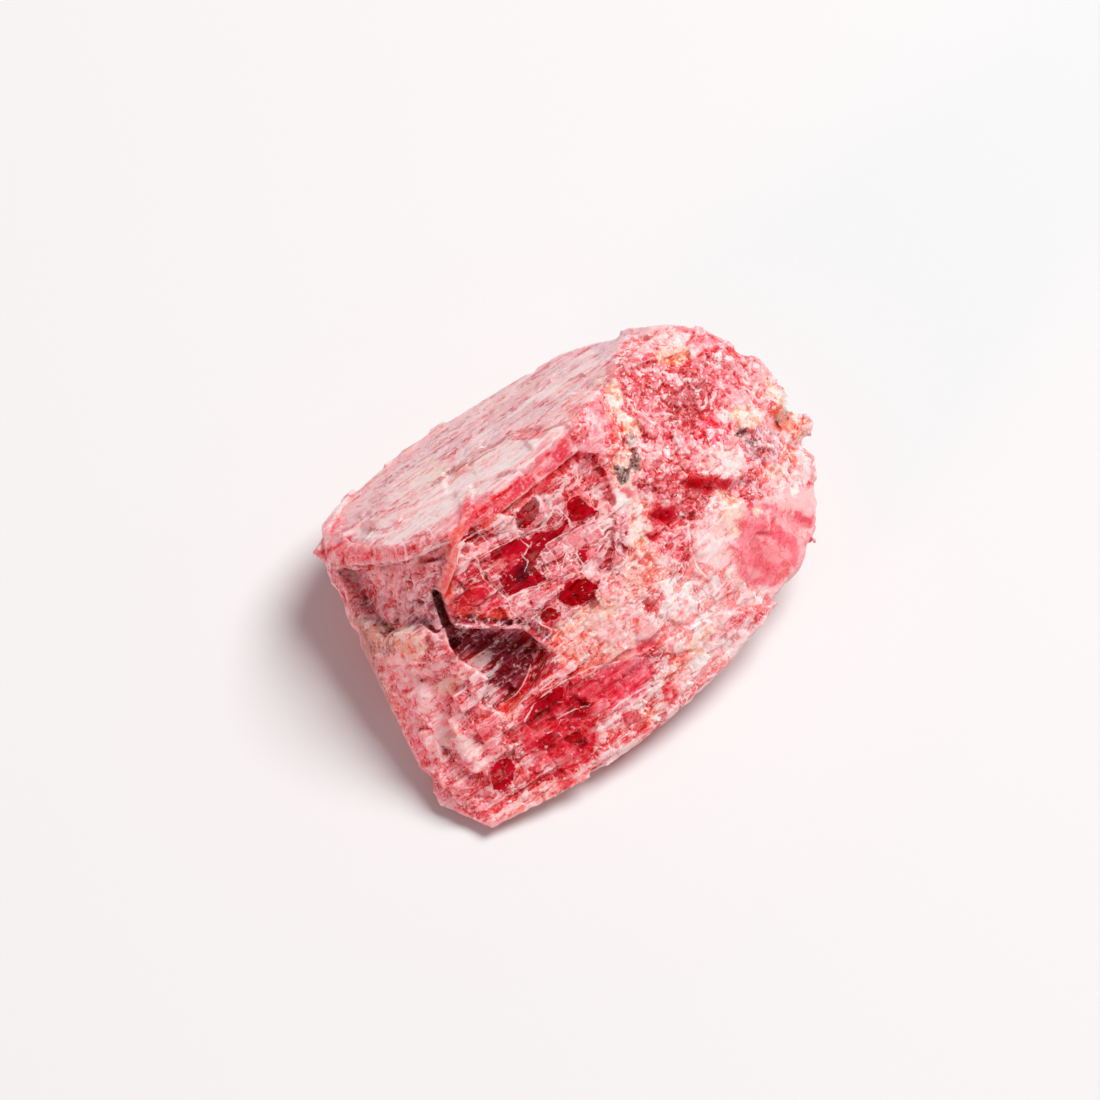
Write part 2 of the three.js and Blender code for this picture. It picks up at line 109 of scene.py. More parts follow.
# %% [markdown]
# ## Light and floor
#
# The stone lies on a plain white sheet in a bright room. A white world gives the soft light from all
# around, and one broad lamp to the right gives the shape, the glints and the soft shadow on the left.
# Real rhodonite also lets some of that light through to its far side, and sends it on pink. The stone
# here is modelled by its surface alone, so a small pink lamp, low on the left, stands for that light.
# A floor that is a little under white keeps its own tone and picks up a blush from the stone.

# %% Set up the light
ROOM_LIGHT = 0.27
LAMP_POWER = 18.2
LAMP_SIZE = 0.8
LAMP_AWAY = 1.3
LAMP_AZIMUTH = math.radians(-3)
LAMP_HEIGHT = math.radians(60)
FILL_POWER = 5.2
FILL_SIZE = 0.35
FILL_AZIMUTH = math.radians(192)
FILL_HEIGHT = math.radians(10)
FILL_TONE = (1.0, 0.28, 0.32)
ROOM_TONE = (1.0, 0.99, 1.0, 1.0)

scene = bpy.context.scene
scene.view_settings.view_transform = "Standard"
world = bpy.data.worlds.new("white room")
world.use_nodes = True
room = world.node_tree.nodes["Background"]
room.inputs["Color"].default_value = ROOM_TONE
room.inputs["Strength"].default_value = ROOM_LIGHT
scene.world = world


def add_lamp(name, azimuth, height, size, power, tone=(1.0, 1.0, 1.0)):
    """A round lamp that looks at the stone from LAMP_AWAY."""
    beam = Vector((
        math.cos(azimuth) * math.cos(height),
        math.sin(azimuth) * math.cos(height),
        math.sin(height),
    ))
    lamp = bpy.data.objects.new(name, bpy.data.lights.new(name, "AREA"))
    lamp.data.shape = "DISK"
    lamp.data.size = size
    lamp.data.energy = power
    lamp.data.color = tone
    lamp.location = beam * LAMP_AWAY
    lamp.rotation_euler = beam.to_track_quat("Z", "Y").to_euler()
    scene.collection.objects.link(lamp)


add_lamp("window", LAMP_AZIMUTH, LAMP_HEIGHT, LAMP_SIZE, LAMP_POWER)
add_lamp("low fill", FILL_AZIMUTH, FILL_HEIGHT, FILL_SIZE, FILL_POWER, FILL_TONE)

# %% Set up the floor
FLOOR_WHITE = 0.8
FLOOR_SIZE = 3
FLOOR_ROUGHNESS = 0.9
FLOOR_SHINE = 0.1

bpy.ops.object.select_all(action="DESELECT")
bpy.ops.mesh.primitive_plane_add(size=FLOOR_SIZE)
floor = bpy.context.object
floor.name = "floor"
paper = bpy.data.materials.new("white sheet")
paper.use_nodes = True
sheet = paper.node_tree.nodes["Principled BSDF"]
sheet.inputs["Base Color"].default_value = (FLOOR_WHITE, FLOOR_WHITE, FLOOR_WHITE, 1.0)
sheet.inputs["Roughness"].default_value = FLOOR_ROUGHNESS
sheet.inputs["Specular IOR Level"].default_value = FLOOR_SHINE
floor.data.materials.append(paper)
print("floor:", FLOOR_SIZE, "m wide")

# %% [markdown]
# ## A finer skin
#
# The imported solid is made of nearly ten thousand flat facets, with long thin ones beside tiny ones.
# Relief needs points at an even distance, about as far apart as the smallest step that should show. The
# voxel Remesh modifier gives that: it fills the solid with small cubes and wraps a new skin round them.

# %% Remesh a copy of the solid
VOXEL = 0.15 * MM
SAME_POINT = 1e-6

bpy.ops.object.select_all(action="DESELECT")
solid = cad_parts[NODE]
solid.select_set(True)
bpy.context.view_layer.objects.active = solid
bpy.ops.object.duplicate()
stone = bpy.context.object
stone.name = "rough_rhodonite"
stone.data.name = "rough_rhodonite"
stone.parent = None
stone.matrix_world = Matrix.Identity(4)
for key in list(stone.keys()):
    del stone[key]
bpy.ops.object.mode_set(mode="EDIT")
bpy.ops.mesh.select_all(action="SELECT")
bpy.ops.mesh.remove_doubles(threshold=SAME_POINT)
bpy.ops.object.mode_set(mode="OBJECT")
skin = stone.modifiers.new("finer skin", "REMESH")
skin.mode = "VOXEL"
skin.voxel_size = VOXEL
bpy.ops.object.modifier_apply(modifier=skin.name)
stone.data.materials.clear()
print("skin points:", len(stone.data.vertices))

# %% Read the mesh as numbers
def points_of(thing):
    """The mesh points of an object, in millimetres."""
    flat = np.empty(len(thing.data.vertices) * 3, np.float32)
    thing.data.vertices.foreach_get("co", flat)
    return flat.reshape(-1, 3).astype(float) / MM


def normals_of(thing):
    """The way that the surface faces at each mesh point of an object."""
    flat = np.empty(len(thing.data.vertices) * 3, np.float32)
    thing.data.vertex_normals.foreach_get("vector", flat)
    return flat.reshape(-1, 3).astype(float)


def averaged(thing, values, rounds):
    """Each point's value replaced by the mean of its neighbours' values, some rounds over."""
    ends = np.empty(len(thing.data.edges) * 2, np.int32)
    thing.data.edges.foreach_get("vertices", ends)
    first, second = ends.reshape(-1, 2).T
    size = len(values)
    count = np.maximum(np.bincount(ends, minlength=size), 1)
    for _ in range(rounds):
        sums = [
            np.bincount(first, column[second], size) + np.bincount(second, column[first], size)
            for column in values.T
        ]
        values = np.stack(sums, axis=1) / count[:, None]
    return values


print("the skin's middle in mm:", points_of(stone).mean(axis=0).round(1).tolist())

# %% [markdown]
# ## The grain of the stone
#
# Everything in the lump is lined up with its crystal directions. `ALONG` is the direction that both
# cleavages share, `LEAF` is square to the pale cleavage face and `BLOCK` is square to the other one.
# Patterns are made in these three directions, so that rows of blocks run straight through the stone and
# come out on every side of it, as they do in the real mineral.

# %% Crystal directions
PALE_BEARING = math.radians(103)
PALE_TILT = math.radians(45)
LEAF = np.array([
    math.cos(PALE_BEARING) * math.sin(PALE_TILT),
    math.sin(PALE_BEARING) * math.sin(PALE_TILT),
    math.cos(PALE_TILT),
])
ROWS = np.array([0.968, -0.082, 0.235])
in_face = ROWS - (ROWS @ LEAF) * LEAF
ALONG = in_face / np.linalg.norm(in_face)
BLOCK = np.cross(ALONG, LEAF)
CRYSTAL = np.array([ALONG, LEAF, BLOCK])
print("crystal directions:", CRYSTAL.round(2).tolist())

# %% Noise for the relief
def chance(cell, seed):
    """A number from 0 to 1 for each whole-numbered cell, the same on every run."""
    cell = cell.astype(np.int64)
    mixed = cell[..., 0] * 73856093 ^ cell[..., 1] * 19349663 ^ cell[..., 2] * 83492791 ^ seed * 40503
    mixed = (mixed ^ mixed >> 13) * 1274126177 & 0xFFFFFFFF
    mixed = (mixed ^ mixed >> 16) * 2246822519 & 0xFFFFFFFF
    return (mixed ^ mixed >> 15) / 0xFFFFFFFF


def smooth_noise(places, size, seed=0):
    """Soft random hills from 0 to 1, about one size apart."""
    scaled = places / np.asarray(size, float)
    cell = np.floor(scaled)
    part = scaled - cell
    part = part * part * (3 - 2 * part)
    total = np.zeros(len(places))
    for corner in np.ndindex(2, 2, 2):
        weight = np.prod(np.where(np.array(corner) == 1, part, 1 - part), axis=1)
        total += weight * chance(cell + corner, seed)
    return total


def layered_noise(places, size, seed=0, layers=4):
    """Smooth noise with finer and fainter noise on top of it."""
    total = np.zeros(len(places))
    reach = 0.0
    for layer in range(layers):
        share = 0.5 ** layer
        total += share * smooth_noise(places, np.asarray(size, float) * share, seed + layer)
        reach += share
    return total / reach


row = np.linspace([0, 0, 0], [4, 0, 0], 5)
print("noise along a row:", smooth_noise(row, 1.5).round(2).tolist())

# %% Broken blocks for the relief
def fractures(places, size, seed=0):
    """Break space into blocks of about a size, and say for each place how far its block's surface
    stands out (-1 to 1), which way it leans, and how near the block's edge is (0 on the edge)."""
    scaled = places / np.asarray(size, float)
    home = np.floor(scaled)
    nearest = np.full(len(places), 9.0)
    second = np.full(len(places), 9.0)
    stand = np.zeros(len(places))
    lean = np.zeros(len(places))
    for step in np.ndindex(3, 3, 3):
        cell = home + np.array(step) - 1
        tips = np.stack([chance(cell, seed + k) for k in range(3)], axis=1)
        away = scaled - cell - 0.15 - 0.7 * tips
        span = np.abs(away)
        distance = 0.8 * span.max(axis=1) + 0.2 * span.sum(axis=1)
        closer = distance < nearest
        second = np.where(closer, nearest, np.minimum(second, distance))
        nearest = np.where(closer, distance, nearest)
        tilts = np.stack([chance(cell, seed + 7 + k) - 0.5 for k in range(3)], axis=1)
        stand = np.where(closer, 2 * chance(cell, seed + 5) - 1, stand)
        lean = np.where(closer, np.sum(away * tilts, axis=1), lean)
    return stand, lean, second - nearest


def ramp(values, start, end):
    """0 before start, 1 after end, and smooth between them."""
    part = np.clip((values - start) / (end - start), 0, 1)
    return part * part * (3 - 2 * part)


print("blocks along the same row stand out by:", fractures(row, 1.5)[0].round(2).tolist())

# %% [markdown]
# ## Steps, grains and striations
#
# Rhodonite breaks in steps: each face is a stair of small flat treads that follow the cleavage. The
# helper `stair` pulls points towards the nearest tread. `fractures` then lets single blocks stand out or
# lean a little, and each part of the lump gets its own mixture: sugary grains on the crown, fine
# striations in the hollow, thin flakes on the lower right, and hardly any relief on the pale face.
#
# Each part is an outline drawn in the camera's view, in pixels. An operator can't follow such outlines,
# so the points of the mesh are moved in code.

# %% Shapes drawn in the camera's view
def signed_inside(across, down, corners):
    """How far inside a drawn outline each place is, in millimetres, negative outside it."""
    outline = np.array(corners, float)
    nearest = np.full(len(across), 1e9)
    inside = np.zeros(len(across), bool)
    for start, end in zip(outline, np.roll(outline, -1, axis=0)):
        nearest = np.minimum(nearest, from_segment(across, down, start, end))
        spans = (start[1] > down) != (end[1] > down)
        rise = end[1] - start[1] if end[1] != start[1] else 1e-9
        crossing = start[0] + (down - start[1]) * (end[0] - start[0]) / rise
        inside ^= spans & (across < crossing)
    return np.where(inside, nearest, -nearest) / PIXELS_PER_MM


def from_segment(across, down, start, end):
    """The distance of each place from a straight line between two points, in pixels."""
    step = np.subtract(end, start)
    part = ((across - start[0]) * step[0] + (down - start[1]) * step[1]) / max(step @ step, 1e-9)
    part = np.clip(part, 0, 1)
    return np.hypot(across - start[0] - part * step[0], down - start[1] - part * step[1])


def from_line(across, down, corners):
    """The distance of each place from a bent line, in millimetres."""
    nearest = np.full(len(across), 1e9)
    for start, end in zip(corners[:-1], corners[1:]):
        nearest = np.minimum(nearest, from_segment(across, down, np.array(start), np.array(end)))
    return nearest / PIXELS_PER_MM


def oval(x, y, wide, high, turn=0, corners=12):
    """The outline of an oval: its middle, its two half sizes and how many degrees it is turned."""
    lean = math.radians(turn)
    outline = []
    for step in range(corners):
        angle = 2 * math.pi * step / corners
        right = wide * math.cos(angle)
        up = high * math.sin(angle)
        outline.append((
            x + right * math.cos(lean) + up * math.sin(lean),
            y - right * math.sin(lean) + up * math.cos(lean),
        ))
    return outline


print("corners of an oval:", len(oval(0, 0, 2, 1)))

# %% The parts of the lump, as seen from the camera
PALE_FACE = [
    (310, 532), (325, 510), (372, 468), (440, 415), (520, 365), (590, 327), (640, 322), (628, 345),
    (612, 365), (600, 385), (572, 423), (545, 440), (526, 472), (495, 492), (466, 500), (440, 524),
    (405, 545), (333, 541),
]
LEDGE = [
    (312, 548), (333, 541), (405, 545), (433, 525), (460, 503), (455, 530), (437, 541), (405, 562),
    (381, 568), (325, 563),
]
RED_BAND = [
    (464, 500), (476, 506), (487, 497), (500, 490), (526, 474), (545, 455), (571, 430), (590, 410),
    (600, 425), (578, 452), (566, 475), (549, 488), (536, 500), (492, 520), (460, 542), (462, 520),
]
BRICKS = [
    (456, 545), (492, 518), (549, 488), (575, 458), (600, 450), (612, 470), (608, 500), (622, 505),
    (640, 515), (636, 545), (620, 570), (605, 590), (590, 620), (560, 655), (540, 645), (505, 620),
    (456, 626),
]
HOLLOW = [
    (453, 622), (500, 616), (536, 640), (560, 657), (556, 668), (530, 695), (500, 706), (476, 694),
    (490, 664), (456, 660),
]
LEFT_END = [
    (318, 560), (381, 569), (405, 563), (437, 542), (450, 560), (438, 590), (446, 640), (436, 655),
    (384, 640), (350, 622), (330, 590),
]
LOWER_LEFT = [
    (376, 640), (440, 655), (480, 690), (500, 712), (520, 730), (530, 800), (500, 832), (430, 812),
    (396, 730), (370, 660),
]
LOWER_FRONT = [
    (500, 712), (530, 694), (560, 664), (620, 665), (660, 640), (700, 690), (662, 730), (590, 790),
    (530, 812), (500, 800),
]
CREAM_BAND = [
    (628, 500), (648, 500), (652, 545), (670, 590), (640, 640), (600, 668), (556, 664), (552, 645),
    (590, 605), (612, 575), (628, 545),
]
KNUCKLE = [
    (566, 432), (590, 396), (612, 372), (624, 380), (622, 440), (612, 462), (596, 450), (575, 452),
]
CROWN = [
    (612, 365), (628, 335), (700, 318), (760, 345), (830, 420), (820, 480), (760, 500), (735, 480),
    (700, 480), (672, 474), (640, 490), (622, 460), (626, 400),
]
RED_PITS = [
    (640, 470), (676, 468), (735, 472), (760, 500), (712, 515), (690, 560), (652, 548), (640, 500),
]
WHITE_MOUND = [(692, 514), (715, 492), (742, 500), (738, 545), (735, 576), (700, 574), (688, 548)]
LENS = oval(768, 548, 36, 44, -20)
FLAKES = [
    (652, 552), (690, 560), (735, 580), (775, 590), (765, 640), (700, 700), (664, 735), (640, 700),
    (660, 640), (640, 600),
]
TONGUE = [(440, 650), (470, 650), (498, 656), (502, 672), (500, 712), (478, 704), (440, 692)]
RIM = [(764, 366), (822, 366), (830, 490), (786, 486), (772, 420)]
PARTS = {
    "pale_face": PALE_FACE, "ledge": LEDGE, "red_band": RED_BAND, "bricks": BRICKS, "hollow": HOLLOW,
    "left_end": LEFT_END, "lower_left": LOWER_LEFT, "lower_front": LOWER_FRONT,
    "cream_band": CREAM_BAND, "knuckle": KNUCKLE, "crown": CROWN, "red_pits": RED_PITS,
    "white_mound": WHITE_MOUND, "lens": LENS, "flakes": FLAKES, "tongue": TONGUE, "rim": RIM,
}
print("parts in view:", len(PARTS))

# %% [markdown]
# ## Healed slits
#
# Where small blocks meet, the skin has slits that are deep but hardly wider than its cubes. They would
# show as black lines that this stone doesn't have. Inside the outlines of `SLITS` each point moves to
# the middle of its neighbours, over and over, until the slit has closed. Only then is relief added.

# %% Heal the slits
SLITS = [
    [(412, 670), (450, 666), (454, 686), (416, 694)],
    [(438, 738), (464, 740), (468, 772), (444, 772)],
    [(476, 790), (502, 790), (504, 814), (480, 814)],
    [(340, 566), (382, 568), (390, 600), (388, 622), (366, 622), (346, 604)],
    [(660, 488), (700, 472), (738, 468), (766, 474), (768, 492), (716, 508), (664, 520), (646, 512)],
    [(736, 362), (756, 370), (780, 388), (800, 400), (806, 432), (790, 446), (764, 428), (742, 388)],
    [(786, 452), (804, 452), (806, 478), (790, 478)],
    [(764, 500), (800, 500), (818, 512), (818, 540), (800, 530), (772, 520)],
    [(622, 318), (640, 314), (648, 330), (634, 340), (620, 336)],
    [(596, 374), (622, 372), (628, 396), (604, 400)],
    [(342, 512), (386, 508), (394, 532), (350, 542)],
]
HEALING_ROUNDS = 40
FACING_ROUNDS = 15

places = points_of(stone)
across, down = in_view(places)
outward = averaged(stone, normals_of(stone), FACING_ROUNDS) @ toward_camera
healed = np.max([ramp(signed_inside(across, down, slit), -0.25, 0.25) for slit in SLITS], axis=0)
healed *= ramp(outward, -0.1, 0.15)
places += healed[:, None] * (averaged(stone, places, HEALING_ROUNDS) - places)
stone.data.vertices.foreach_set("co", (places * MM).astype(np.float32).ravel())
stone.data.update()
normals = normals_of(stone)
print("points in healed slits:", int((healed > 0.5).sum()))

# %% How much of each place belongs to each part
WANDER = 7
WANDER_SIZE = 0.9
SHAKE = 4
SHAKE_SIZE = 0.35

across, down = in_view(places)
across += WANDER * (smooth_noise(places, WANDER_SIZE, 501) - 0.5)
across += SHAKE * (smooth_noise(places, SHAKE_SIZE, 502) - 0.5)
down += WANDER * (smooth_noise(places, WANDER_SIZE, 503) - 0.5)
down += SHAKE * (smooth_noise(places, SHAKE_SIZE, 504) - 0.5)
facing = ramp(normals @ toward_camera, -0.05, 0.2)


def area(outline, soft=0.35):
    """How much of each place belongs to a part of the lump, from 0 to 1."""
    return facing * ramp(signed_inside(across, down, outline), -soft, soft)


pale_face = area(PALE_FACE)
red_band = area(RED_BAND)
bricks = area(BRICKS)
hollow = area(HOLLOW)
left_end = area(LEFT_END)
lower_left = area(LOWER_LEFT)
lower_front = area(LOWER_FRONT)
cream_band = area(CREAM_BAND)
knuckle = area(KNUCKLE)
crown = area(CROWN)
red_pits = area(RED_PITS)
white_mound = area(WHITE_MOUND)
lens = area(LENS)
flakes = area(FLAKES)
calm = ramp(signed_inside(across, down, RIM), -0.6, 0.6)
back = ramp(-(normals @ toward_camera), 0.15, 0.5)
print("share of the points that face the camera:", round(float(facing.mean()), 2))

# %% Blocks that follow the cleavage
TREADS = ((LEAF, 0.95), (BLOCK, 1.15), (ALONG, 1.9))
TREAD_EDGE = 0.16
STEP_PULL = 0.55
MOST_STEPS = 0.6
FOOT = 0.03
FOOT_CLEAR = 0.5
FOOT_GAP = 0.02


def stair(places, direction, tread, seed):
    """How far to move each place along a direction to bring it onto the nearest tread."""
    others = [axis for axis in CRYSTAL if abs(axis @ direction) < 0.5]
    column = np.stack([places @ others[0] / 2.6, places @ others[1] / 1.7, np.zeros(len(places))], 1)
    level = places @ direction / tread + 0.9 * chance(np.floor(column), seed)
    level += 0.5 * smooth_noise(places, 5.0, seed + 3)
    whole = np.floor(level)
    return (whole + ramp(level - whole, 0.5 - TREAD_EDGE, 0.5 + TREAD_EDGE) - level) * tread


steps = 0.45 * back + 0.30 * left_end + 0.22 * (lower_front + lower_left) + 0.18 * crown
steps += 0.1 * bricks + 0.2 * flakes
blocks = 0.5 + 0.7 * bricks + 0.5 * lower_front + 0.4 * crown + 0.5 * red_pits + 0.3 * left_end
blocks *= (1 - 0.85 * pale_face) * (1 - 0.8 * lens) * (1 - 0.6 * red_band) * (1 - 0.5 * white_mound)
sugar = 0.2 + 0.35 * crown + 0.8 * cream_band + 0.7 * red_pits + 0.3 * flakes + 0.4 * knuckle
sugar += 0.2 * ramp(smooth_noise(places, 6.0, 71), 0.45, 0.7)
sugar *= (1 - 0.85 * pale_face) * (1 - 0.75 * lens) * (1 - 0.7 * hollow) * (1 - 0.6 * bricks)
steps *= 1 - calm
blocks *= 1 - 0.7 * calm
sugar *= 1 - 0.5 * calm
rooted = ramp(places[:, 2], FOOT_GAP, FOOT_CLEAR)

move = np.zeros_like(places)
for number, (direction, tread) in enumerate(TREADS):
    shift = stair(places, direction, tread, 200 + 20 * number)
    move += (STEP_PULL * np.clip(steps, 0, MOST_STEPS) * shift * rooted)[:, None] * direction

in_crystal = places @ CRYSTAL.T
stand, lean, edge = fractures(in_crystal, (1.9, 0.85, 1.0), 11)
height = blocks * (0.10 * stand + 0.22 * lean - 0.05 * ramp(edge, 0.12, 0.0))
stand, lean, _ = fractures(in_crystal, (0.75, 0.4, 0.45), 37)
height += blocks * (0.045 * stand + 0.09 * lean)
stand, lean, edge = fractures(places, 0.85, 53)
height += sugar * (0.05 * stand + 0.14 * lean - 0.02 * ramp(edge, 0.12, 0.0))
stand, lean, _ = fractures(places, 0.42, 67)
height += (0.15 + sugar) * (0.015 * stand + 0.05 * lean)
print("relief from", height.min().round(2), "to", height.max().round(2), "mm")

# %% Fine striations and flakes
STRIATION = 0.42
ACROSS_RIBS = np.array([0.05, 1.0, 0.25])

ribs = in_crystal @ ACROSS_RIBS / STRIATION + 1.3 * smooth_noise(in_crystal, (4, 1.2, 1.2), 83)
ribbing = np.abs(2 * (ribs - np.floor(ribs)) - 1)
rib_strength = 0.07 * hollow + 0.03 * left_end + 0.03 * lower_front + 0.02 * bricks
height += rib_strength * (ribbing - 0.5)

streaks = layered_noise(in_crystal, (3.2, 0.5, 0.5), 91, 3) - 0.5
height += (0.16 * pale_face + 0.10 * flakes + 0.08 * left_end + 0.12 * white_mound) * streaks
shells = layered_noise(places, 1.6, 97, 2) * 5
height += 0.06 * flakes * (ramp(shells - np.floor(shells), 0.0, 0.75) - 0.5)
height += 0.10 * lens * (smooth_noise(places, 3.0, 99) - 0.5)
print("relief with striations and flakes from", height.min().round(2), "to", height.max().round(2), "mm")

# %% Press two bumps of the plate flat and move the points
BUMPS = [
    ([(446, 472), (470, 468), (482, 486), (476, 500), (462, 508), (448, 502)],
     [(425, 508), (450, 488), (500, 458), (520, 452), (500, 470), (450, 500)]),
    ([(344, 516), (372, 514), (380, 526), (372, 536), (350, 538), (342, 528)],
     [(336, 508), (380, 504), (396, 522), (386, 540), (344, 546), (332, 532)]),
]
level = places @ LEAF
for outline, around in BUMPS:
    inside = signed_inside(across, down, outline)
    near = (signed_inside(across, down, around) > 0) & (inside < -0.1) & (facing > 0.9)
    top = ramp(level - np.median(level[near]), -0.8, -0.4)
    pressed = top * ramp(inside, -0.3, 0.1)
    move += (pressed * np.minimum(np.median(level[near]) - level, 0))[:, None] * LEAF
    height *= 1 - 0.7 * pressed
height *= 1 - 0.65 * ramp(np.abs(normals @ toward_camera), 0.4, 0.1)

move += (height * rooted)[:, None] * normals
shaped = places + move
shaped[:, 2] = np.where(places[:, 2] < FOOT, 0.0, np.maximum(shaped[:, 2], FOOT_GAP))
shaped = np.clip(shaped, np.array(low) / MM, np.array(high) / MM)
stone.data.vertices.foreach_set("co", (shaped * MM).astype(np.float32).ravel())
stone.data.update()
print("moved up to", np.linalg.norm(move, axis=1).max().round(2), "mm")

# %% [markdown]
# ## Fewer triangles
#
# The voxel skin has as many points underneath as in front. The Decimate modifier merges triangles until
# a wanted number is left, and a vertex group tells it where it may merge most: on the sides that face
# away, which carry the same colours but need less detail.

# %% Spend the triangles where they show
TRIANGLES = 196000
FINE = 0.09
LEVELS = 12

may_merge = stone.vertex_groups.new(name="may be coarse")
coarse = 1 - (1 - FINE) * ramp(normals @ toward_camera, -0.1, 0.15)
coarse_level = np.round(coarse * LEVELS).astype(int)
for value in np.unique(coarse_level):
    may_merge.add(np.nonzero(coarse_level == value)[0].tolist(), value / LEVELS, "REPLACE")
thin = stone.modifiers.new("fewer triangles", "DECIMATE")
thin.ratio = TRIANGLES / (2 * len(stone.data.polygons))
thin.vertex_group = may_merge.name
thin.vertex_group_factor = 1.0
bpy.context.view_layer.objects.active = stone
bpy.ops.object.modifier_apply(modifier=thin.name)
stone.vertex_groups.clear()
stone.data.calc_loop_triangles()
print("points:", len(stone.data.vertices), "triangles:", len(stone.data.loop_triangles))

# %% [markdown]
# ## The colours of the stone
#
# Clear rhodonite is wine red, and every tint here is that red, thinned by cracks. Crushed stone turns
# rose, then blush, then white. A little iron makes it coral or peach, weathering makes it cream, and
# manganese oxide makes it plum and sooty grey. The sooty grey also draws a painted shadow line under the
# ledge, and the clay brown is also painted shade on the left side, which faces away from the lamp. These
# few named colours are laid on in patches, as with a brush, from large to small. They are kept with the
# mesh as a colour attribute.

# %% Named colours
COLOURS = {
    "garnet": "#6e0614",
    "wine": "#ac0418",
    "glass": "#be0620",
    "crimson": "#dc1834",
    "scarlet": "#ec3c46",
    "coral": "#f26450",
    "rose": "#dc5660",
    "pink": "#f0808a",
    "candy": "#f2647e",
    "lolly": "#f24c66",
    "dusty": "#d2666e",
    "blush": "#faaeae",
    "petal": "#fdd0ce",
    "snow": "#fff0ee",
    "shell": "#fbc0be",
    "cream": "#fccfba",
    "peach": "#fab092",
    "mauve": "#dca6ae",
    "violet": "#a44c62",
    "plum": "#8e1a32",
    "soot_and_shade": "#6e463e",
    "clay_and_shade": "#b27c6c",
}


def colour(name):
    """A named colour as linear red, green and blue."""
    coded = [int(COLOURS[name][at:at + 2], 16) / 255 for at in (1, 3, 5)]
    return np.array([c / 12.92 if c < 0.04045 else ((c + 0.055) / 1.055) ** 2.4 for c in coded])


print("colours:", len(COLOURS))

# %% Where the points lie in view, and which of them face the camera
places = points_of(stone)
normals = normals_of(stone)
true_across, true_down = in_view(places)
wobble = smooth_noise(places, 0.7, 601) - 0.5
waver = smooth_noise(places, 0.7, 603) - 0.5
jitter = smooth_noise(places, 0.28, 602) - 0.5
judder = smooth_noise(places, 0.28, 604) - 0.5
across = true_across + 5 * wobble + 4 * jitter
down = true_down + 5 * waver + 4 * judder
facing = ramp(normals @ toward_camera, -0.08, 0.12)
in_crystal = places @ CRYSTAL.T
print("points to paint:", len(places))

# %% Sides that face away
tint = np.tile(colour("rose"), (len(places), 1))


def lay(name, amount):
    """Lay a named colour over the stone, by an amount from 0 to 1 at each point."""
    global tint
    tint = tint + np.clip(amount, 0, 1)[:, None] * (colour(name) - tint)


def cloud(size, seed, start, end, layers=3):
    """Soft patches of about a size, from 0 to 1."""
    return ramp(layered_noise(in_crystal, size, seed, layers), start, end)


lay("pink", cloud((5.0, 3.0, 3.0), 301, 0.45, 0.6))
lay("blush", 0.85 * cloud((4.0, 2.2, 2.2), 311, 0.5, 0.66))
lay("crimson", 0.8 * cloud((3.4, 1.6, 1.6), 321, 0.55, 0.66))
lay("cream", 0.7 * cloud((4.0, 2.6, 2.0), 331, 0.6, 0.7))
lay("mauve", 0.6 * cloud((6.0, 3.0, 3.0), 341, 0.58, 0.7))
lay("peach", 0.5 * cloud((2.6, 1.6, 1.6), 351, 0.6, 0.7))
lay("petal", 0.7 * cloud((1.6, 0.6, 0.6), 361, 0.58, 0.7))
hidden_tint = tint.copy()
print("mean tint of the sides that face away:", hidden_tint.mean(axis=0).round(2).tolist())

# %% [markdown]
# ## Laying patches in view
#
# A patch is a named colour, an amount, the width of its soft edge and an outline in the camera's view.
# Its edge is made ragged by noise that runs along the crystal, so it ends in splinters as the stone's
# own colours do. Patches are laid in turn, from the whole parts down to single grains, and a later one
# covers an earlier one.

# %% Broad colours of the parts in view
ragged = layered_noise(in_crystal, (1.3, 0.4, 0.45), 605, 3) - 0.5


def patch(name, amount, soft, outline):
    """Lay a named colour inside an outline in view; soft is the width of its edge in millimetres."""
    reach = signed_inside(across, down, outline) + ragged * (0.3 + 2.5 * soft)
    lay(name, amount * ramp(reach, -soft, soft))


def paint(title, spots):
    """Lay a list of patches in turn."""
    for spot in spots:
        patch(*spot)
    print(title + ":", len(spots), "patches")


BROAD_PATCHES = [
    ("mauve", 0.8, 0.5, PALE_FACE),
    ("petal", 0.3, 0.3, PALE_FACE),
    ("scarlet", 1, 0.1, RED_BAND),
    ("crimson", 0.35, 0.1, RED_BAND),
    ("pink", 1, 0.12, LEDGE),
    ("crimson", 1, 0.12, BRICKS),
    ("rose", 0.25, 0.12, BRICKS),
    ("plum", 1, 0.12, HOLLOW),
    ("mauve", 1, 0.4, LEFT_END),
    ("blush", 0.2, 0.4, LEFT_END),
    ("rose", 0.9, 0.4, LOWER_LEFT),
    ("pink", 0.8, 0.4, LOWER_LEFT),
    ("scarlet", 1, 0.4, LOWER_FRONT),
    ("pink", 0.9, 0.4, CROWN),
    ("pink", 0.8, 0.4, RED_PITS),
    ("shell", 1, 0.4, FLAKES),
    ("petal", 0.6, 0.4, FLAKES),
    ("shell", 1, 0.3, WHITE_MOUND),
    ("blush", 0.6, 0.3, oval(712, 540, 16, 22)),
    ("lolly", 0.75, 0.4, LENS),
    ("pink", 0.3, 0.4, LENS),
    ("cream", 0.9, 0.4, CREAM_BAND),
    ("pink", 0.4, 0.4, CREAM_BAND),
    ("pink", 1, 0.3, KNUCKLE),
]
paint("whole parts", BROAD_PATCHES)

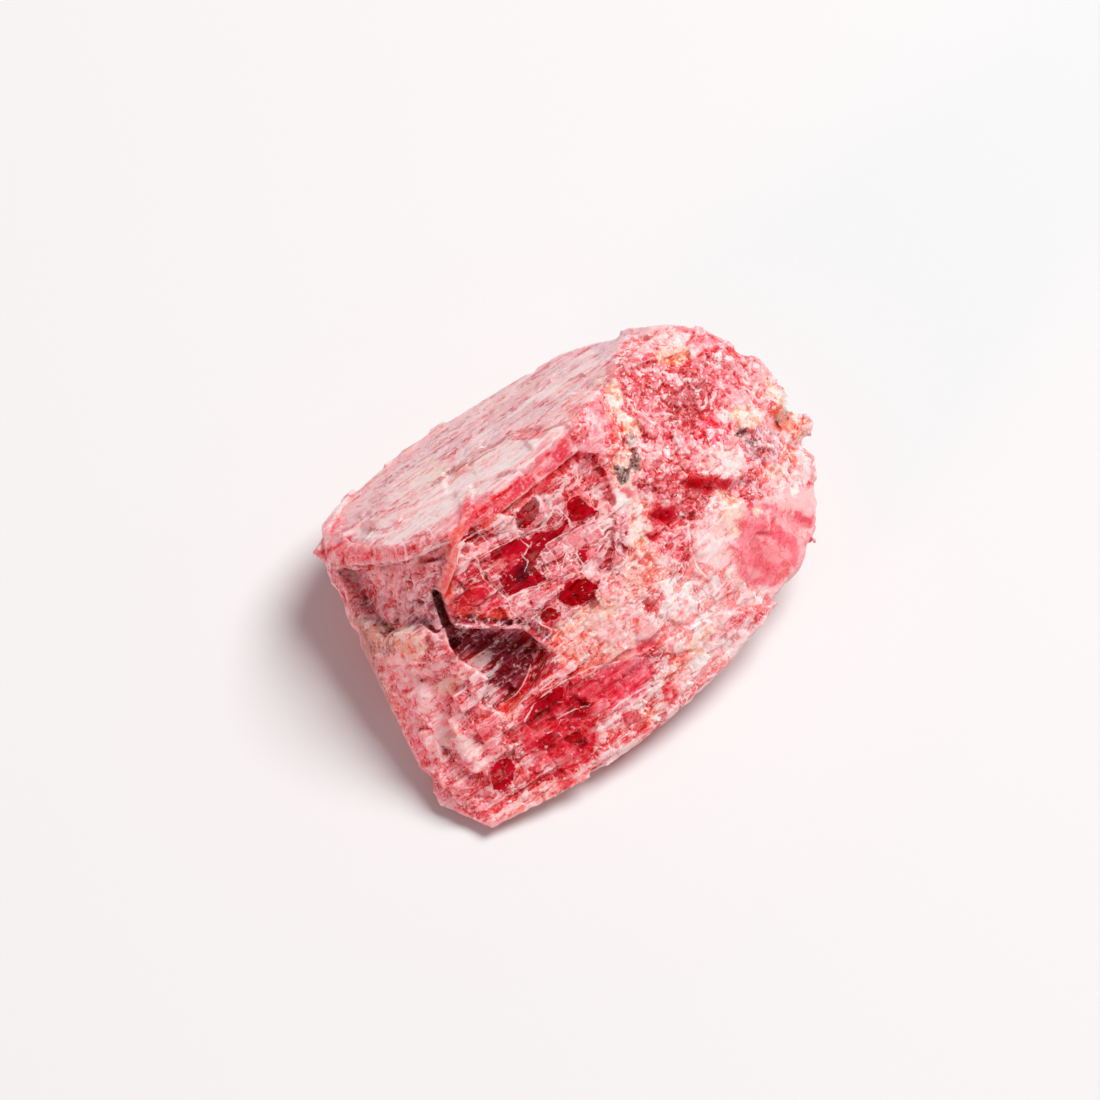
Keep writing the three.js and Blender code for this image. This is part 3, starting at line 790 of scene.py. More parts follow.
# %% Patches of the pale face, its ledge and its red band
PALE_PATCHES = [
    ("blush", 0.9, 0.25, [(325, 525), (370, 470), (440, 415), (520, 365), (580, 336), (585, 345),
                         (525, 378), (450, 425), (385, 474), (345, 520)]),
    ("petal", 1.0, 0.2, [(340, 536), (405, 505), (440, 482), (492, 447), (520, 436), (600, 387),
                          (610, 380), (590, 405), (545, 440), (520, 465), (470, 497), (440, 522),
                          (405, 543)]),
    ("snow", 0.4, 0.3, [(400, 520), (440, 496), (500, 460), (560, 424), (540, 446), (470, 496),
                        (420, 530)]),
    ("petal", 0.7, 0.2, [(385, 495), (420, 470), (455, 470), (445, 485), (400, 505)]),
    ("petal", 0.6, 0.2, [(430, 500), (455, 482), (500, 470), (490, 485), (460, 500)]),
    ("cream", 0.35, 0.2, [(404, 480), (425, 465), (455, 462), (440, 478), (412, 488)]),
    ("petal", 0.8, 0.15, [(530, 395), (570, 372), (605, 352), (612, 362), (575, 385), (540, 402)]),
    ("blush", 0.8, 0.15, [(500, 430), (540, 418), (575, 395), (600, 380), (604, 388), (575, 410),
                         (540, 428), (505, 438)]),
    ("scarlet", 0.75, 0.08, [(508, 435), (520, 430), (548, 428), (545, 435), (525, 440), (510, 440)]),
    ("glass", 0.7, 0.06, [(478, 452), (495, 441), (512, 433), (514, 437), (497, 446), (482, 456)]),
    ("scarlet", 0.7, 0.08, [(560, 418), (572, 408), (590, 400), (588, 408), (572, 416), (560, 424)]),
    ("clay_and_shade", 0.5, 0.08, [(430, 482), (455, 466), (480, 452), (482, 456), (458, 470), (434, 487)]),
    ("pink", 0.7, 0.06, [(378, 512), (395, 507), (420, 500), (418, 504), (398, 511), (382, 516)]),
    ("pink", 0.8, 0.06, [(372, 530), (390, 525), (405, 519), (407, 523), (392, 530), (376, 534)]),
    ("dusty", 0.6, 0.06, [(368, 500), (380, 492), (384, 495), (374, 503)]),
    ("pink", 0.5, 0.15, [(560, 352), (590, 337), (600, 338), (575, 360)]),
    ("rose", 0.6, 0.06, [(570, 383), (590, 366), (600, 362), (598, 368), (584, 378), (572, 388)]),
    ("pink", 0.9, 0.1, [(324, 528), (333, 521), (346, 518), (346, 526), (334, 536), (325, 536)]),
]
LEDGE_PATCHES = [
    ("scarlet", 0.55, 0.1, [(336, 545), (372, 545), (375, 558), (338, 562)]),
    ("rose", 0.6, 0.08, [(408, 545), (420, 532), (448, 528), (450, 536), (430, 548), (410, 558)]),
    ("blush", 0.8, 0.1, [(376, 552), (392, 548), (400, 566), (378, 568)]),
    ("petal", 0.6, 0.08, [(382, 528), (400, 525), (435, 508), (452, 505), (430, 522), (400, 538)]),
    ("dusty", 0.7, 0.08, [(316, 545), (328, 545), (328, 562), (318, 556)]),
    # A painted shadow line along the lower edge of the ledge.
    ("soot_and_shade", 0.5, 0.05, [(408, 562), (428, 551), (449, 537), (451, 541), (430, 555), (410, 567)]),
    ("blush", 0.8, 0.08, [(328, 552), (334, 548), (338, 562), (330, 564)]),
]
BAND_PATCHES = [
    ("crimson", 0.6, 0.1, [(505, 490), (518, 480), (530, 478), (530, 488), (512, 494)]),
    ("crimson", 0.7, 0.1, [(470, 520), (486, 506), (500, 500), (498, 508), (478, 520)]),
    ("crimson", 0.8, 0.08, [(546, 455), (556, 450), (568, 450), (562, 458), (550, 460)]),
    ("pink", 0.8, 0.1, [(531, 472), (545, 458), (562, 462), (550, 478), (538, 480)]),
    ("blush", 0.8, 0.08, [(533, 476), (542, 470), (548, 480), (540, 486)]),
    ("crimson", 0.4, 0.08, [(549, 482), (563, 466), (571, 456), (580, 450), (586, 462), (579, 470),
                            (565, 477), (554, 487)]),
    ("coral", 0.7, 0.06, [(479, 525), (500, 512), (530, 498), (553, 487), (555, 490), (532, 502),
                          (502, 517), (481, 529)]),
]
on_pale_face = ramp(signed_inside(across, down, PALE_FACE), 0.0, 0.5)
lay("petal", 0.7 * on_pale_face * cloud((2.2, 1.1, 1.1), 631, 0.55, 0.62))
lay("rose", 0.35 * on_pale_face * cloud((2.4, 0.8, 0.8), 641, 0.58, 0.64))
paint("pale face, ledge and red band", PALE_PATCHES + LEDGE_PATCHES + BAND_PATCHES)

# %% Patches of the bricks below the ridge
BRICK_PATCHES = [
    ("dusty", 0.9, 0.08, [(490, 534), (500, 528), (509, 520), (517, 514), (521, 531), (508, 538),
                          (492, 542)]),
    ("blush", 0.8, 0.1, [(458, 541), (470, 540), (492, 545), (488, 553), (474, 556), (459, 553)]),
    ("dusty", 0.7, 0.1, [(537, 496), (560, 490), (568, 500), (566, 524), (545, 528), (534, 522)]),
    ("pink", 0.8, 0.12, [(566, 528), (598, 522), (602, 540), (596, 558), (580, 556), (566, 545)]),
    ("dusty", 0.8, 0.1, [(537, 548), (556, 545), (562, 560), (556, 572), (540, 574)]),
    ("dusty", 0.7, 0.1, [(562, 556), (580, 554), (584, 572), (566, 580), (558, 576)]),
    ("petal", 0.9, 0.08, [(582, 566), (592, 562), (602, 560), (598, 578), (584, 582)]),
    ("petal", 0.85, 0.08, [(597, 508), (608, 506), (612, 520), (606, 534), (598, 530)]),
    ("rose", 0.8, 0.12, [(560, 480), (600, 466), (612, 480), (606, 502), (570, 492)]),
    ("crimson", 0.7, 0.08, [(570, 455), (586, 450), (592, 462), (580, 472), (570, 468)]),
    ("petal", 0.8, 0.06, [(568, 488), (574, 478), (582, 476), (580, 484), (572, 490)]),
    ("petal", 0.8, 0.06, [(588, 490), (598, 488), (606, 500), (602, 507), (592, 500)]),
    ("dusty", 0.95, 0.08, [(613, 528), (619, 513), (627, 511), (628, 530), (627, 547), (620, 563),
                           (611, 575), (600, 577), (594, 563), (601, 547), (608, 535)]),
    ("rose", 0.8, 0.1, [(504, 585), (510, 600), (520, 625), (560, 625), (556, 600), (540, 585)]),
    ("pink", 0.6, 0.1, [(508, 600), (540, 592), (556, 588), (558, 604), (540, 608), (514, 620)]),
    ("crimson", 0.85, 0.1, [(456, 592), (463, 577), (466, 563), (477, 560), (481, 571), (486, 583),
                            (497, 585), (504, 597), (506, 605), (486, 611), (460, 611)]),
    ("coral", 0.95, 0.1, [(456, 607), (486, 612), (508, 608), (512, 620), (480, 622), (456, 624)]),
    ("petal", 0.7, 0.08, [(458, 553), (472, 557), (466, 566), (458, 574)]),
    ("peach", 0.7, 0.08, [(550, 640), (560, 622), (580, 610), (588, 614), (572, 632), (556, 648)]),
]
VEIN_ABOVE = [(468, 500), (463, 515), (458, 530)]
VEIN_BELOW = [(458, 530), (454, 545), (450, 560), (448, 576), (446, 590), (452, 604)]


def brush(name, amount, line, half_width, core, sway=3, dip=0):
    """Lay a named colour along a line: nothing beyond half a width, in millimetres, and all of it
    within the core. The line sways a few pixels across and dips a few down, as a real vein does."""
    away = from_line(true_across + sway * wobble, true_down + dip * waver, line)
    lay(name, amount * ramp(away, half_width, core))


paint("bricks", BRICK_PATCHES)
brush("scarlet", 0.8, VEIN_ABOVE, 0.3, 0.12)
brush("coral", 0.9, VEIN_BELOW, 0.5, 0.25)
brush("scarlet", 0.5, VEIN_BELOW, 0.25, 0.1)

# %% Patches of the hollow and the left end
HOLLOW_PATCHES = [
    ("violet", 1.0, 0.12, [(456, 622), (490, 620), (520, 628), (535, 640), (514, 642), (498, 634),
                          (482, 640), (462, 638)]),
    ("mauve", 0.4, 0.1, [(462, 624), (480, 622), (492, 630), (480, 636), (466, 634)]),
    ("mauve", 0.5, 0.08, [(496, 620), (514, 622), (532, 636), (516, 636), (504, 630)]),
    ("garnet", 0.6, 0.12, [(480, 640), (500, 634), (534, 646), (532, 654), (500, 652), (484, 650)]),
    ("garnet", 0.35, 0.1, [(496, 652), (534, 650), (534, 664), (518, 690), (498, 684), (490, 668)]),
    ("violet", 0.8, 0.05, [(490, 672), (512, 660), (532, 652), (532, 655), (512, 665), (492, 677)]),
    ("violet", 0.7, 0.05, [(488, 684), (506, 674), (528, 662), (528, 665), (508, 678), (490, 688)]),
    ("dusty", 0.8, 0.2, [(446, 660), (470, 652), (488, 656), (490, 668), (480, 686), (452, 690)]),
    ("blush", 0.8, 0.1, [(446, 668), (462, 660), (480, 658), (474, 670), (456, 682)]),
    ("petal", 0.7, 0.06, [(452, 680), (468, 672), (488, 662), (490, 666), (470, 680), (456, 686)]),
    ("dusty", 0.7, 0.04, [(472, 676), (484, 668), (494, 662), (494, 664), (484, 671), (474, 679)]),
    ("rose", 0.9, 0.15, [(470, 690), (490, 684), (506, 690), (502, 708), (484, 716), (472, 706)]),
    ("plum", 0.8, 0.06, [(478, 694), (492, 688), (500, 692), (490, 700), (480, 700)]),
    ("plum", 0.6, 0.06, [(484, 706), (496, 700), (502, 704), (492, 712)]),
    ("crimson", 1.0, 0.1, [(532, 656), (546, 651), (559, 658), (558, 668), (542, 682), (529, 693),
                          (516, 700), (524, 680)]),
    ("wine", 0.8, 0.1, [(534, 660), (546, 654), (558, 660), (556, 668), (540, 680), (530, 684)]),
    ("coral", 0.9, 0.1, [(498, 720), (505, 704), (520, 694), (532, 690), (524, 706), (510, 720)]),
    ("scarlet", 0.7, 0.08, [(514, 706), (526, 694), (536, 690), (526, 708), (516, 712)]),
]
LEFT_PATCHES = [
    ("dusty", 0.8, 0.2, [(330, 562), (376, 570), (378, 600), (346, 600), (334, 584)]),
    ("mauve", 0.9, 0.12, [(338, 568), (374, 572), (374, 582), (346, 584)]),
    ("crimson", 0.6, 0.08, oval(342, 566, 5, 4)),
    ("rose", 0.9, 0.12, [(344, 582), (374, 582), (376, 598), (348, 600)]),
    ("plum", 0.2, 0.12, [(352, 586), (372, 586), (372, 594), (354, 595)]),
    ("dusty", 0.9, 0.12, [(342, 600), (376, 598), (380, 612), (366, 620), (350, 616)]),
    ("plum", 0.35, 0.1, [(350, 602), (374, 601), (372, 610), (354, 611)]),
    ("blush", 0.7, 0.12, [(375, 568), (397, 568), (398, 590), (396, 614), (382, 616), (376, 600)]),
    ("violet", 0.4, 0.06, [(384, 572), (392, 570), (390, 586), (384, 588)]),
    ("violet", 0.35, 0.06, [(378, 604), (384, 596), (388, 608), (382, 616)]),
    ("dusty", 0.9, 0.15, [(400, 568), (436, 566), (438, 590), (424, 602), (404, 596)]),
    ("rose", 0.6, 0.1, [(412, 566), (436, 562), (438, 578), (420, 582)]),
    ("violet", 0.8, 0.12, [(404, 600), (424, 596), (438, 600), (438, 622), (418, 632), (406, 620)]),
    ("mauve", 0.8, 0.06, [(402, 600), (420, 584), (436, 572), (438, 576), (422, 590), (406, 606)]),
    ("mauve", 0.7, 0.05, [(408, 622), (422, 610), (438, 602), (438, 606), (424, 615), (412, 627)]),
    ("dusty", 0.8, 0.1, [(410, 632), (424, 624), (442, 618), (448, 636), (432, 646), (414, 646)]),
    ("blush", 0.7, 0.05, [(404, 640), (424, 632), (444, 626), (446, 630), (426, 638), (408, 646)]),
    ("plum", 0.8, 0.08, oval(396, 621, 6, 5, -20)),
    ("petal", 0.9, 0.1, [(404, 564), (425, 554), (446, 546), (448, 552), (430, 562), (410, 570)]),
    # A painted shadow line under the ledge, at its left end.
    ("soot_and_shade", 0.5, 0.06, [(378, 562), (396, 562), (410, 560), (406, 566), (390, 568), (378, 567)]),
    # Clay brown on the left side, which faces away from the lamp: painted shade.
    ("clay_and_shade", 0.9, 0.2, [(350, 618), (378, 620), (398, 628), (398, 650), (380, 660), (364, 650)]),
    ("peach", 0.5, 0.15, [(366, 624), (386, 626), (394, 640), (376, 650)]),
    ("cream", 1.0, 0.12, [(394, 634), (406, 624), (418, 630), (428, 646), (420, 660), (400, 656)]),
    ("peach", 0.8, 0.12, [(396, 640), (410, 634), (424, 650), (412, 664), (398, 658)]),
    # The clay brown strip down the left edge is painted shade.
    ("clay_and_shade", 0.9, 0.2, [(352, 628), (372, 652), (388, 690), (404, 740), (396, 742), (378, 716),
                       (360, 676), (344, 634)]),
]
HOLLOW_LIP = [(454, 619), (480, 621), (510, 622), (534, 625), (548, 636)]
CRACK = [(436, 591), (440, 602), (443, 614), (447, 624), (452, 633), (454, 644)]
paint("hollow and left end", HOLLOW_PATCHES + LEFT_PATCHES)
brush("dusty", 0.9, HOLLOW_LIP, 0.4, 0.2, 4, 3)
brush("plum", 0.8 * cloud((0.9, 0.4, 0.4), 651, 0.4, 0.5), HOLLOW_LIP, 0.4, 0.2, 4, 3)
brush("plum", 0.95, CRACK, 0.42, 0.28, 2)
brush("garnet", 0.6, CRACK, 0.3, 0.15, 2)

# %% Patches of the lower front
LOWER_PATCHES = [
    ("blush", 0.9, 0.15, [(382, 658), (400, 654), (420, 660), (420, 678), (398, 684), (385, 676)]),
    ("snow", 0.9, 0.06, [(406, 670), (414, 666), (420, 673), (413, 679)]),
    ("rose", 0.8, 0.15, [(420, 656), (446, 660), (452, 676), (436, 690), (422, 684)]),
    ("petal", 0.7, 0.06, [(424, 668), (440, 662), (448, 664), (436, 672), (426, 676)]),
    ("cream", 0.95, 0.1, [(434, 686), (444, 678), (458, 675), (461, 684), (448, 694), (438, 694)]),
    ("cream", 0.8, 0.1, [(414, 698), (422, 699), (430, 712), (424, 716)]),
    ("pink", 0.9, 0.2, [(386, 678), (412, 686), (420, 716), (438, 760), (424, 760), (404, 726)]),
    ("blush", 0.8, 0.2, [(398, 668), (424, 672), (432, 700), (424, 716), (404, 690)]),
    ("coral", 0.4, 0.15, [(386, 680), (394, 684), (408, 724), (418, 752), (408, 744), (394, 712)]),
    ("candy", 0.5, 0.15, [(406, 724), (420, 736), (434, 770), (428, 784), (416, 758)]),
    ("petal", 0.6, 0.1, [(426, 700), (440, 706), (446, 726), (432, 722)]),
    ("rose", 0.9, 0.1, [(458, 710), (474, 706), (478, 722), (464, 730), (458, 724)]),
    ("blush", 1.0, 0.3, oval(444, 738, 18, 24)),
    ("petal", 0.8, 0.12, [(438, 726), (456, 730), (476, 746), (488, 766), (478, 768), (456, 756),
                         (442, 742)]),
    ("cream", 0.3, 0.1, [(462, 740), (476, 740), (486, 752), (474, 760)]),
    ("dusty", 0.9, 0.1, [(442, 748), (456, 746), (464, 758), (450, 764)]),
    ("pink", 0.6, 0.15, [(446, 762), (468, 764), (480, 790), (464, 798), (450, 784)]),
    ("petal", 0.8, 0.1, [(448, 770), (462, 776), (472, 792), (462, 796)]),
    ("rose", 0.8, 0.15, [(424, 780), (448, 786), (472, 804), (474, 816), (446, 810), (430, 798)]),
    ("candy", 0.6, 0.15, [(426, 790), (440, 792), (456, 806), (440, 810)]),
    ("rose", 0.6, 0.15, [(424, 776), (448, 770), (474, 790), (480, 816), (450, 812), (430, 796)]),
    ("pink", 0.9, 0.15, [(474, 796), (500, 790), (524, 786), (520, 808), (500, 822), (480, 822)]),
    ("coral", 0.5, 0.15, [(486, 812), (524, 796), (560, 784), (570, 792), (524, 818), (492, 830)]),
    ("crimson", 0.6, 0.25, [(520, 700), (550, 680), (600, 664), (650, 660), (664, 672), (640, 700),
                           (606, 736), (590, 770), (556, 782), (530, 768), (516, 730)]),
    ("crimson", 0.85, 0.2, [(518, 722), (532, 702), (556, 688), (590, 682), (610, 690), (600, 714),
                         (594, 742), (586, 762), (560, 772), (540, 768), (526, 750)]),
    ("rose", 0.7, 0.15, [(500, 724), (524, 724), (536, 744), (520, 766), (502, 752)]),
    ("pink", 0.7, 0.1, [(524, 752), (556, 748), (566, 766), (544, 780), (526, 772)]),
    ("scarlet", 0.95, 0.12, [(562, 764), (592, 752), (602, 762), (584, 784), (562, 788)]),
    ("pink", 0.8, 0.12, [(612, 700), (640, 690), (662, 694), (656, 706), (630, 720), (612, 730)]),
    ("petal", 0.7, 0.1, [(606, 712), (630, 698), (648, 694), (640, 704), (610, 722)]),
    ("blush", 0.8, 0.12, [(596, 722), (612, 718), (620, 728), (606, 744), (594, 740)]),
    ("peach", 0.5, 0.12, [(640, 706), (662, 698), (664, 712), (644, 726), (634, 720)]),
    ("mauve", 0.9, 0.15, [(658, 722), (664, 708), (682, 700), (684, 708), (668, 726)]),
    ("petal", 0.6, 0.15, [(570, 780), (590, 762), (620, 742), (640, 736), (620, 756), (590, 778)]),
    ("candy", 0.8, 0.15, [(602, 674), (640, 664), (656, 668), (642, 692), (612, 704)]),
]
CREAM_PATCHES = [
    ("snow", 0.8, 0.08, [(611, 490), (618, 488), (628, 500), (624, 513), (612, 510)]),
    ("peach", 0.6, 0.1, [(630, 516), (642, 514), (646, 540), (636, 550), (630, 536)]),
    ("blush", 0.8, 0.12, [(598, 586), (612, 575), (628, 585), (620, 605), (600, 616)]),
    ("blush", 0.8, 0.15, [(600, 612), (626, 600), (650, 610), (648, 635), (620, 650), (600, 640)]),
    ("coral", 0.5, 0.15, [(552, 650), (568, 630), (590, 630), (606, 644), (606, 664), (580, 672),
                         (560, 668)]),
    ("coral", 0.75, 0.08, [(560, 665), (580, 664), (602, 660), (600, 670), (575, 673)]),
    ("peach", 0.7, 0.1, [(576, 612), (590, 604), (596, 618), (582, 628), (568, 634)]),
    ("petal", 0.7, 0.2, oval(604, 610, 20, 15)),
    ("cream", 0.7, 0.15, oval(604, 610, 14, 11)),
]
paint("lower front and cream band", LOWER_PATCHES + CREAM_PATCHES)

# %% Patches of the lens
LENS_PATCHES = [
    ("scarlet", 0.7, 0.1, oval(758, 526, 6, 4, 20)),
    ("scarlet", 0.35, 0.3, oval(762, 560, 16, 16)),
    ("lolly", 0.8, 0.3, oval(776, 530, 20, 16, 30)),
    ("pink", 0.8, 0.25, [(742, 512), (762, 506), (780, 512), (770, 522), (748, 524)]),
    ("blush", 0.7, 0.08, [(768, 516), (784, 520), (790, 532), (784, 530), (778, 522)]),
    ("blush", 0.6, 0.08, [(752, 536), (764, 534), (774, 542), (770, 544), (760, 540)]),
    ("blush", 0.5, 0.08, [(744, 566), (756, 568), (766, 576), (760, 578), (748, 572)]),
    ("pink", 0.7, 0.2, [(736, 540), (748, 530), (752, 556), (744, 570)]),
    ("blush", 0.35, 0.25, [(754, 546), (776, 540), (792, 556), (774, 566)]),
    ("blush", 0.45, 0.3, [(764, 508), (786, 512), (802, 528), (796, 540), (776, 526)]),
]
paint("lens", LENS_PATCHES)

# %% Patches of the crown
KNOB_FOOT = oval(781, 420, 10, 11)
CROWN_PATCHES = [
    ("blush", 0.7, 0.4, [(730, 390), (770, 380), (810, 420), (816, 480), (810, 510), (760, 500),
                         (730, 440)]),
    ("mauve", 0.8, 0.2, [(586, 334), (620, 326), (650, 328), (640, 346), (606, 362), (590, 350)]),
    ("blush", 0.8, 0.2, [(612, 348), (634, 334), (654, 330), (658, 350), (634, 360), (616, 364)]),
    ("rose", 0.8, 0.15, [(606, 362), (640, 352), (664, 362), (660, 380), (624, 392), (604, 384)]),
    ("rose", 0.9, 0.2, [(626, 366), (660, 360), (700, 366), (722, 376), (722, 402), (704, 420),
                       (694, 436), (672, 430), (660, 412), (634, 410), (622, 392)]),
    ("crimson", 0.9, 0.15, [(666, 410), (690, 402), (700, 394), (714, 380), (720, 392), (704, 412),
                         (696, 432), (674, 428)]),
    ("wine", 0.45, 0.2, [(664, 392), (692, 384), (706, 376), (714, 384), (700, 410), (690, 430),
                         (672, 424)]),
    ("crimson", 0.7, 0.12, oval(636, 386, 16, 8, 20)),
    ("crimson", 0.9, 0.12, [(698, 354), (708, 350), (716, 364), (710, 372), (700, 366)]),
    ("scarlet", 0.6, 0.08, [(666, 325), (684, 324), (692, 330), (680, 332)]),
    ("shell", 0.9, 0.15, [(654, 338), (668, 329), (686, 332), (690, 346), (672, 352), (657, 348)]),
    ("petal", 0.7, 0.1, oval(672, 338, 8, 5)),
    ("peach", 0.9, 0.15, [(656, 350), (684, 346), (690, 358), (676, 368), (658, 364)]),
    ("petal", 0.9, 0.08, oval(692, 353, 7, 5, 20)),
    ("pink", 0.9, 0.2, [(690, 330), (712, 336), (736, 354), (756, 360), (772, 380), (742, 372),
                        (722, 366), (706, 350)]),
    ("blush", 0.5, 0.15, [(716, 344), (736, 356), (752, 362), (740, 366), (720, 356)]),
    ("blush", 0.6, 0.2, [(738, 368), (756, 366), (772, 384), (768, 402), (748, 396)]),
    ("pink", 0.6, 0.12, [(716, 372), (736, 370), (742, 396), (730, 410), (720, 400)]),
    ("peach", 0.8, 0.2, [(764, 378), (780, 386), (804, 412), (812, 424), (800, 446), (784, 432),
                        (774, 410)]),
    ("coral", 0.8, 0.15, [(792, 408), (806, 412), (813, 424), (804, 438), (796, 440), (788, 424)]),
    ("cream", 0.9, 0.1, [(606, 382), (614, 378), (622, 396), (620, 416), (612, 410)]),
    ("cream", 0.9, 0.12, [(620, 412), (632, 416), (642, 424), (638, 440), (626, 436), (620, 428)]),
    ("cream", 0.7, 0.1, [(620, 452), (632, 444), (644, 452), (642, 474), (632, 488), (616, 490),
                        (610, 470)]),
    ("coral", 0.85, 0.1, [(605, 402), (612, 408), (622, 424), (624, 444), (618, 456), (606, 458),
                         (612, 440), (610, 424)]),
    ("soot_and_shade", 0.8, 0.06, [(627, 434), (634, 431), (638, 438), (636, 446), (628, 444)]),
    ("soot_and_shade", 0.85, 0.06, [(632, 452), (640, 448), (642, 464), (635, 475), (630, 464)]),
    ("soot_and_shade", 0.95, 0.08, [(615, 467), (624, 463), (631, 468), (628, 482), (621, 487), (615, 478)]),
    ("pink", 0.9, 0.15, [(640, 426), (656, 422), (672, 430), (674, 448), (660, 462), (642, 452)]),
    ("blush", 0.8, 0.12, [(640, 446), (662, 442), (668, 454), (650, 464), (640, 460)]),
    ("rose", 0.8, 0.1, [(674, 446), (690, 450), (694, 472), (680, 474), (672, 462)]),
    ("blush", 0.8, 0.06, oval(686, 453, 6, 4, -30)),
    ("candy", 0.95, 0.1, [(700, 418), (712, 415), (722, 422), (722, 442), (702, 444)]),
    ("pink", 0.8, 0.12, [(718, 420), (732, 424), (734, 442), (720, 444)]),
    ("blush", 1.0, 0.08, [(695, 445), (716, 443), (744, 450), (742, 472), (724, 478), (698, 474)]),
    ("petal", 0.8, 0.12, [(718, 452), (738, 446), (746, 462), (736, 474), (722, 468)]),
    ("crimson", 0.8, 0.12, [(652, 462), (664, 455), (677, 460), (677, 472), (656, 475)]),
    ("dusty", 0.9, 0.12, oval(657, 465, 7, 5)),
    ("petal", 0.8, 0.12, [(720, 408), (742, 402), (764, 412), (760, 424), (740, 426), (724, 418)]),
    ("cream", 0.8, 0.1, [(728, 412), (748, 406), (762, 420), (750, 432), (736, 424)]),
    ("mauve", 0.9, 0.15, [(742, 430), (768, 424), (782, 436), (778, 462), (756, 466), (744, 450)]),
    ("soot_and_shade", 0.7, 0.06, oval(742, 431, 4, 5)),
    ("soot_and_shade", 0.7, 0.06, oval(753, 441, 5, 4, 30)),
    ("dusty", 0.7, 0.1, oval(766, 446, 10, 10)),
    ("petal", 0.8, 0.15, [(780, 428), (798, 440), (812, 470), (804, 492), (784, 480)]),
    ("coral", 0.9, 0.1, [(782, 444), (790, 444), (797, 460), (794, 468), (784, 458)]),
    ("cream", 0.6, 0.12, [(766, 462), (784, 470), (780, 486), (762, 480)]),
    ("blush", 0.8, 0.2, [(756, 482), (786, 478), (808, 486), (814, 514), (792, 512), (760, 502)]),
    ("snow", 0.7, 0.06, oval(794, 490, 4, 5)),
    ("petal", 0.7, 0.06, oval(779, 494, 5, 6)),
    ("coral", 0.95, 0.15, KNOB_FOOT),
]
paint("crown", CROWN_PATCHES)

# %% Patches of the red pits and the mound
PIT_PATCHES = [
    ("pink", 0.9, 0.15, [(632, 474), (652, 470), (672, 478), (664, 492), (640, 496)]),
    ("crimson", 0.6, 0.15, [(654, 490), (672, 474), (700, 476), (732, 480), (716, 500), (704, 520),
                           (684, 532), (660, 534), (650, 514)]),
    ("glass", 0.9, 0.1, [(674, 477), (692, 474), (732, 479), (726, 488), (708, 493), (688, 490)]),
    ("glass", 0.95, 0.08, [(648, 512), (656, 507), (666, 506), (675, 510), (674, 520), (662, 522)]),
    ("wine", 0.5, 0.06, oval(666, 514, 8, 5)),
    ("snow", 0.9, 0.05, oval(666, 503, 5, 4, 20)),
    ("glass", 0.8, 0.08, oval(671, 498, 4, 4)),
    ("glass", 0.8, 0.08, [(698, 498), (708, 494), (712, 502), (702, 510)]),
    ("crimson", 0.9, 0.08, [(646, 533), (658, 530), (662, 536), (652, 543), (647, 541)]),
    ("dusty", 0.8, 0.1, [(712, 488), (730, 488), (736, 500), (724, 512), (712, 506)]),
    ("petal", 0.9, 0.06, oval(716, 500, 6, 7)),
    ("rose", 0.8, 0.1, [(742, 478), (758, 476), (762, 496), (746, 502)]),
    ("crimson", 0.9, 0.08, oval(746, 497, 6, 4)),
    ("crimson", 0.9, 0.08, oval(750, 506, 5, 5)),
    ("crimson", 0.9, 0.1, [(672, 578), (674, 562), (684, 550), (692, 538), (694, 552), (686, 566),
                          (680, 578)]),
    ("cream", 0.8, 0.1, oval(759, 512, 5, 4)),
]
MOUND_PATCHES = [
    ("cream", 0.7, 0.1, [(716, 490), (732, 492), (742, 510), (740, 540), (730, 536), (722, 512)]),
    ("petal", 0.7, 0.15, [(694, 536), (710, 530), (724, 550), (720, 570), (702, 568)]),
    ("pink", 0.5, 0.15, [(700, 515), (712, 512), (712, 530), (700, 535)]),
    ("crimson", 0.7, 0.08, [(676, 560), (684, 548), (692, 536), (692, 552), (682, 566)]),
    ("scarlet", 0.6, 0.08, [(734, 520), (744, 514), (748, 524), (738, 530)]),
    ("blush", 0.9, 0.12, [(798, 530), (806, 534), (808, 560), (790, 585), (780, 585), (798, 560)]),
    ("pink", 0.8, 0.12, [(806, 530), (816, 536), (812, 560), (796, 578)]),
    ("blush", 0.8, 0.15, [(740, 585), (770, 590), (786, 582), (770, 606), (750, 606)]),
]
paint("red pits and mound", PIT_PATCHES + MOUND_PATCHES)

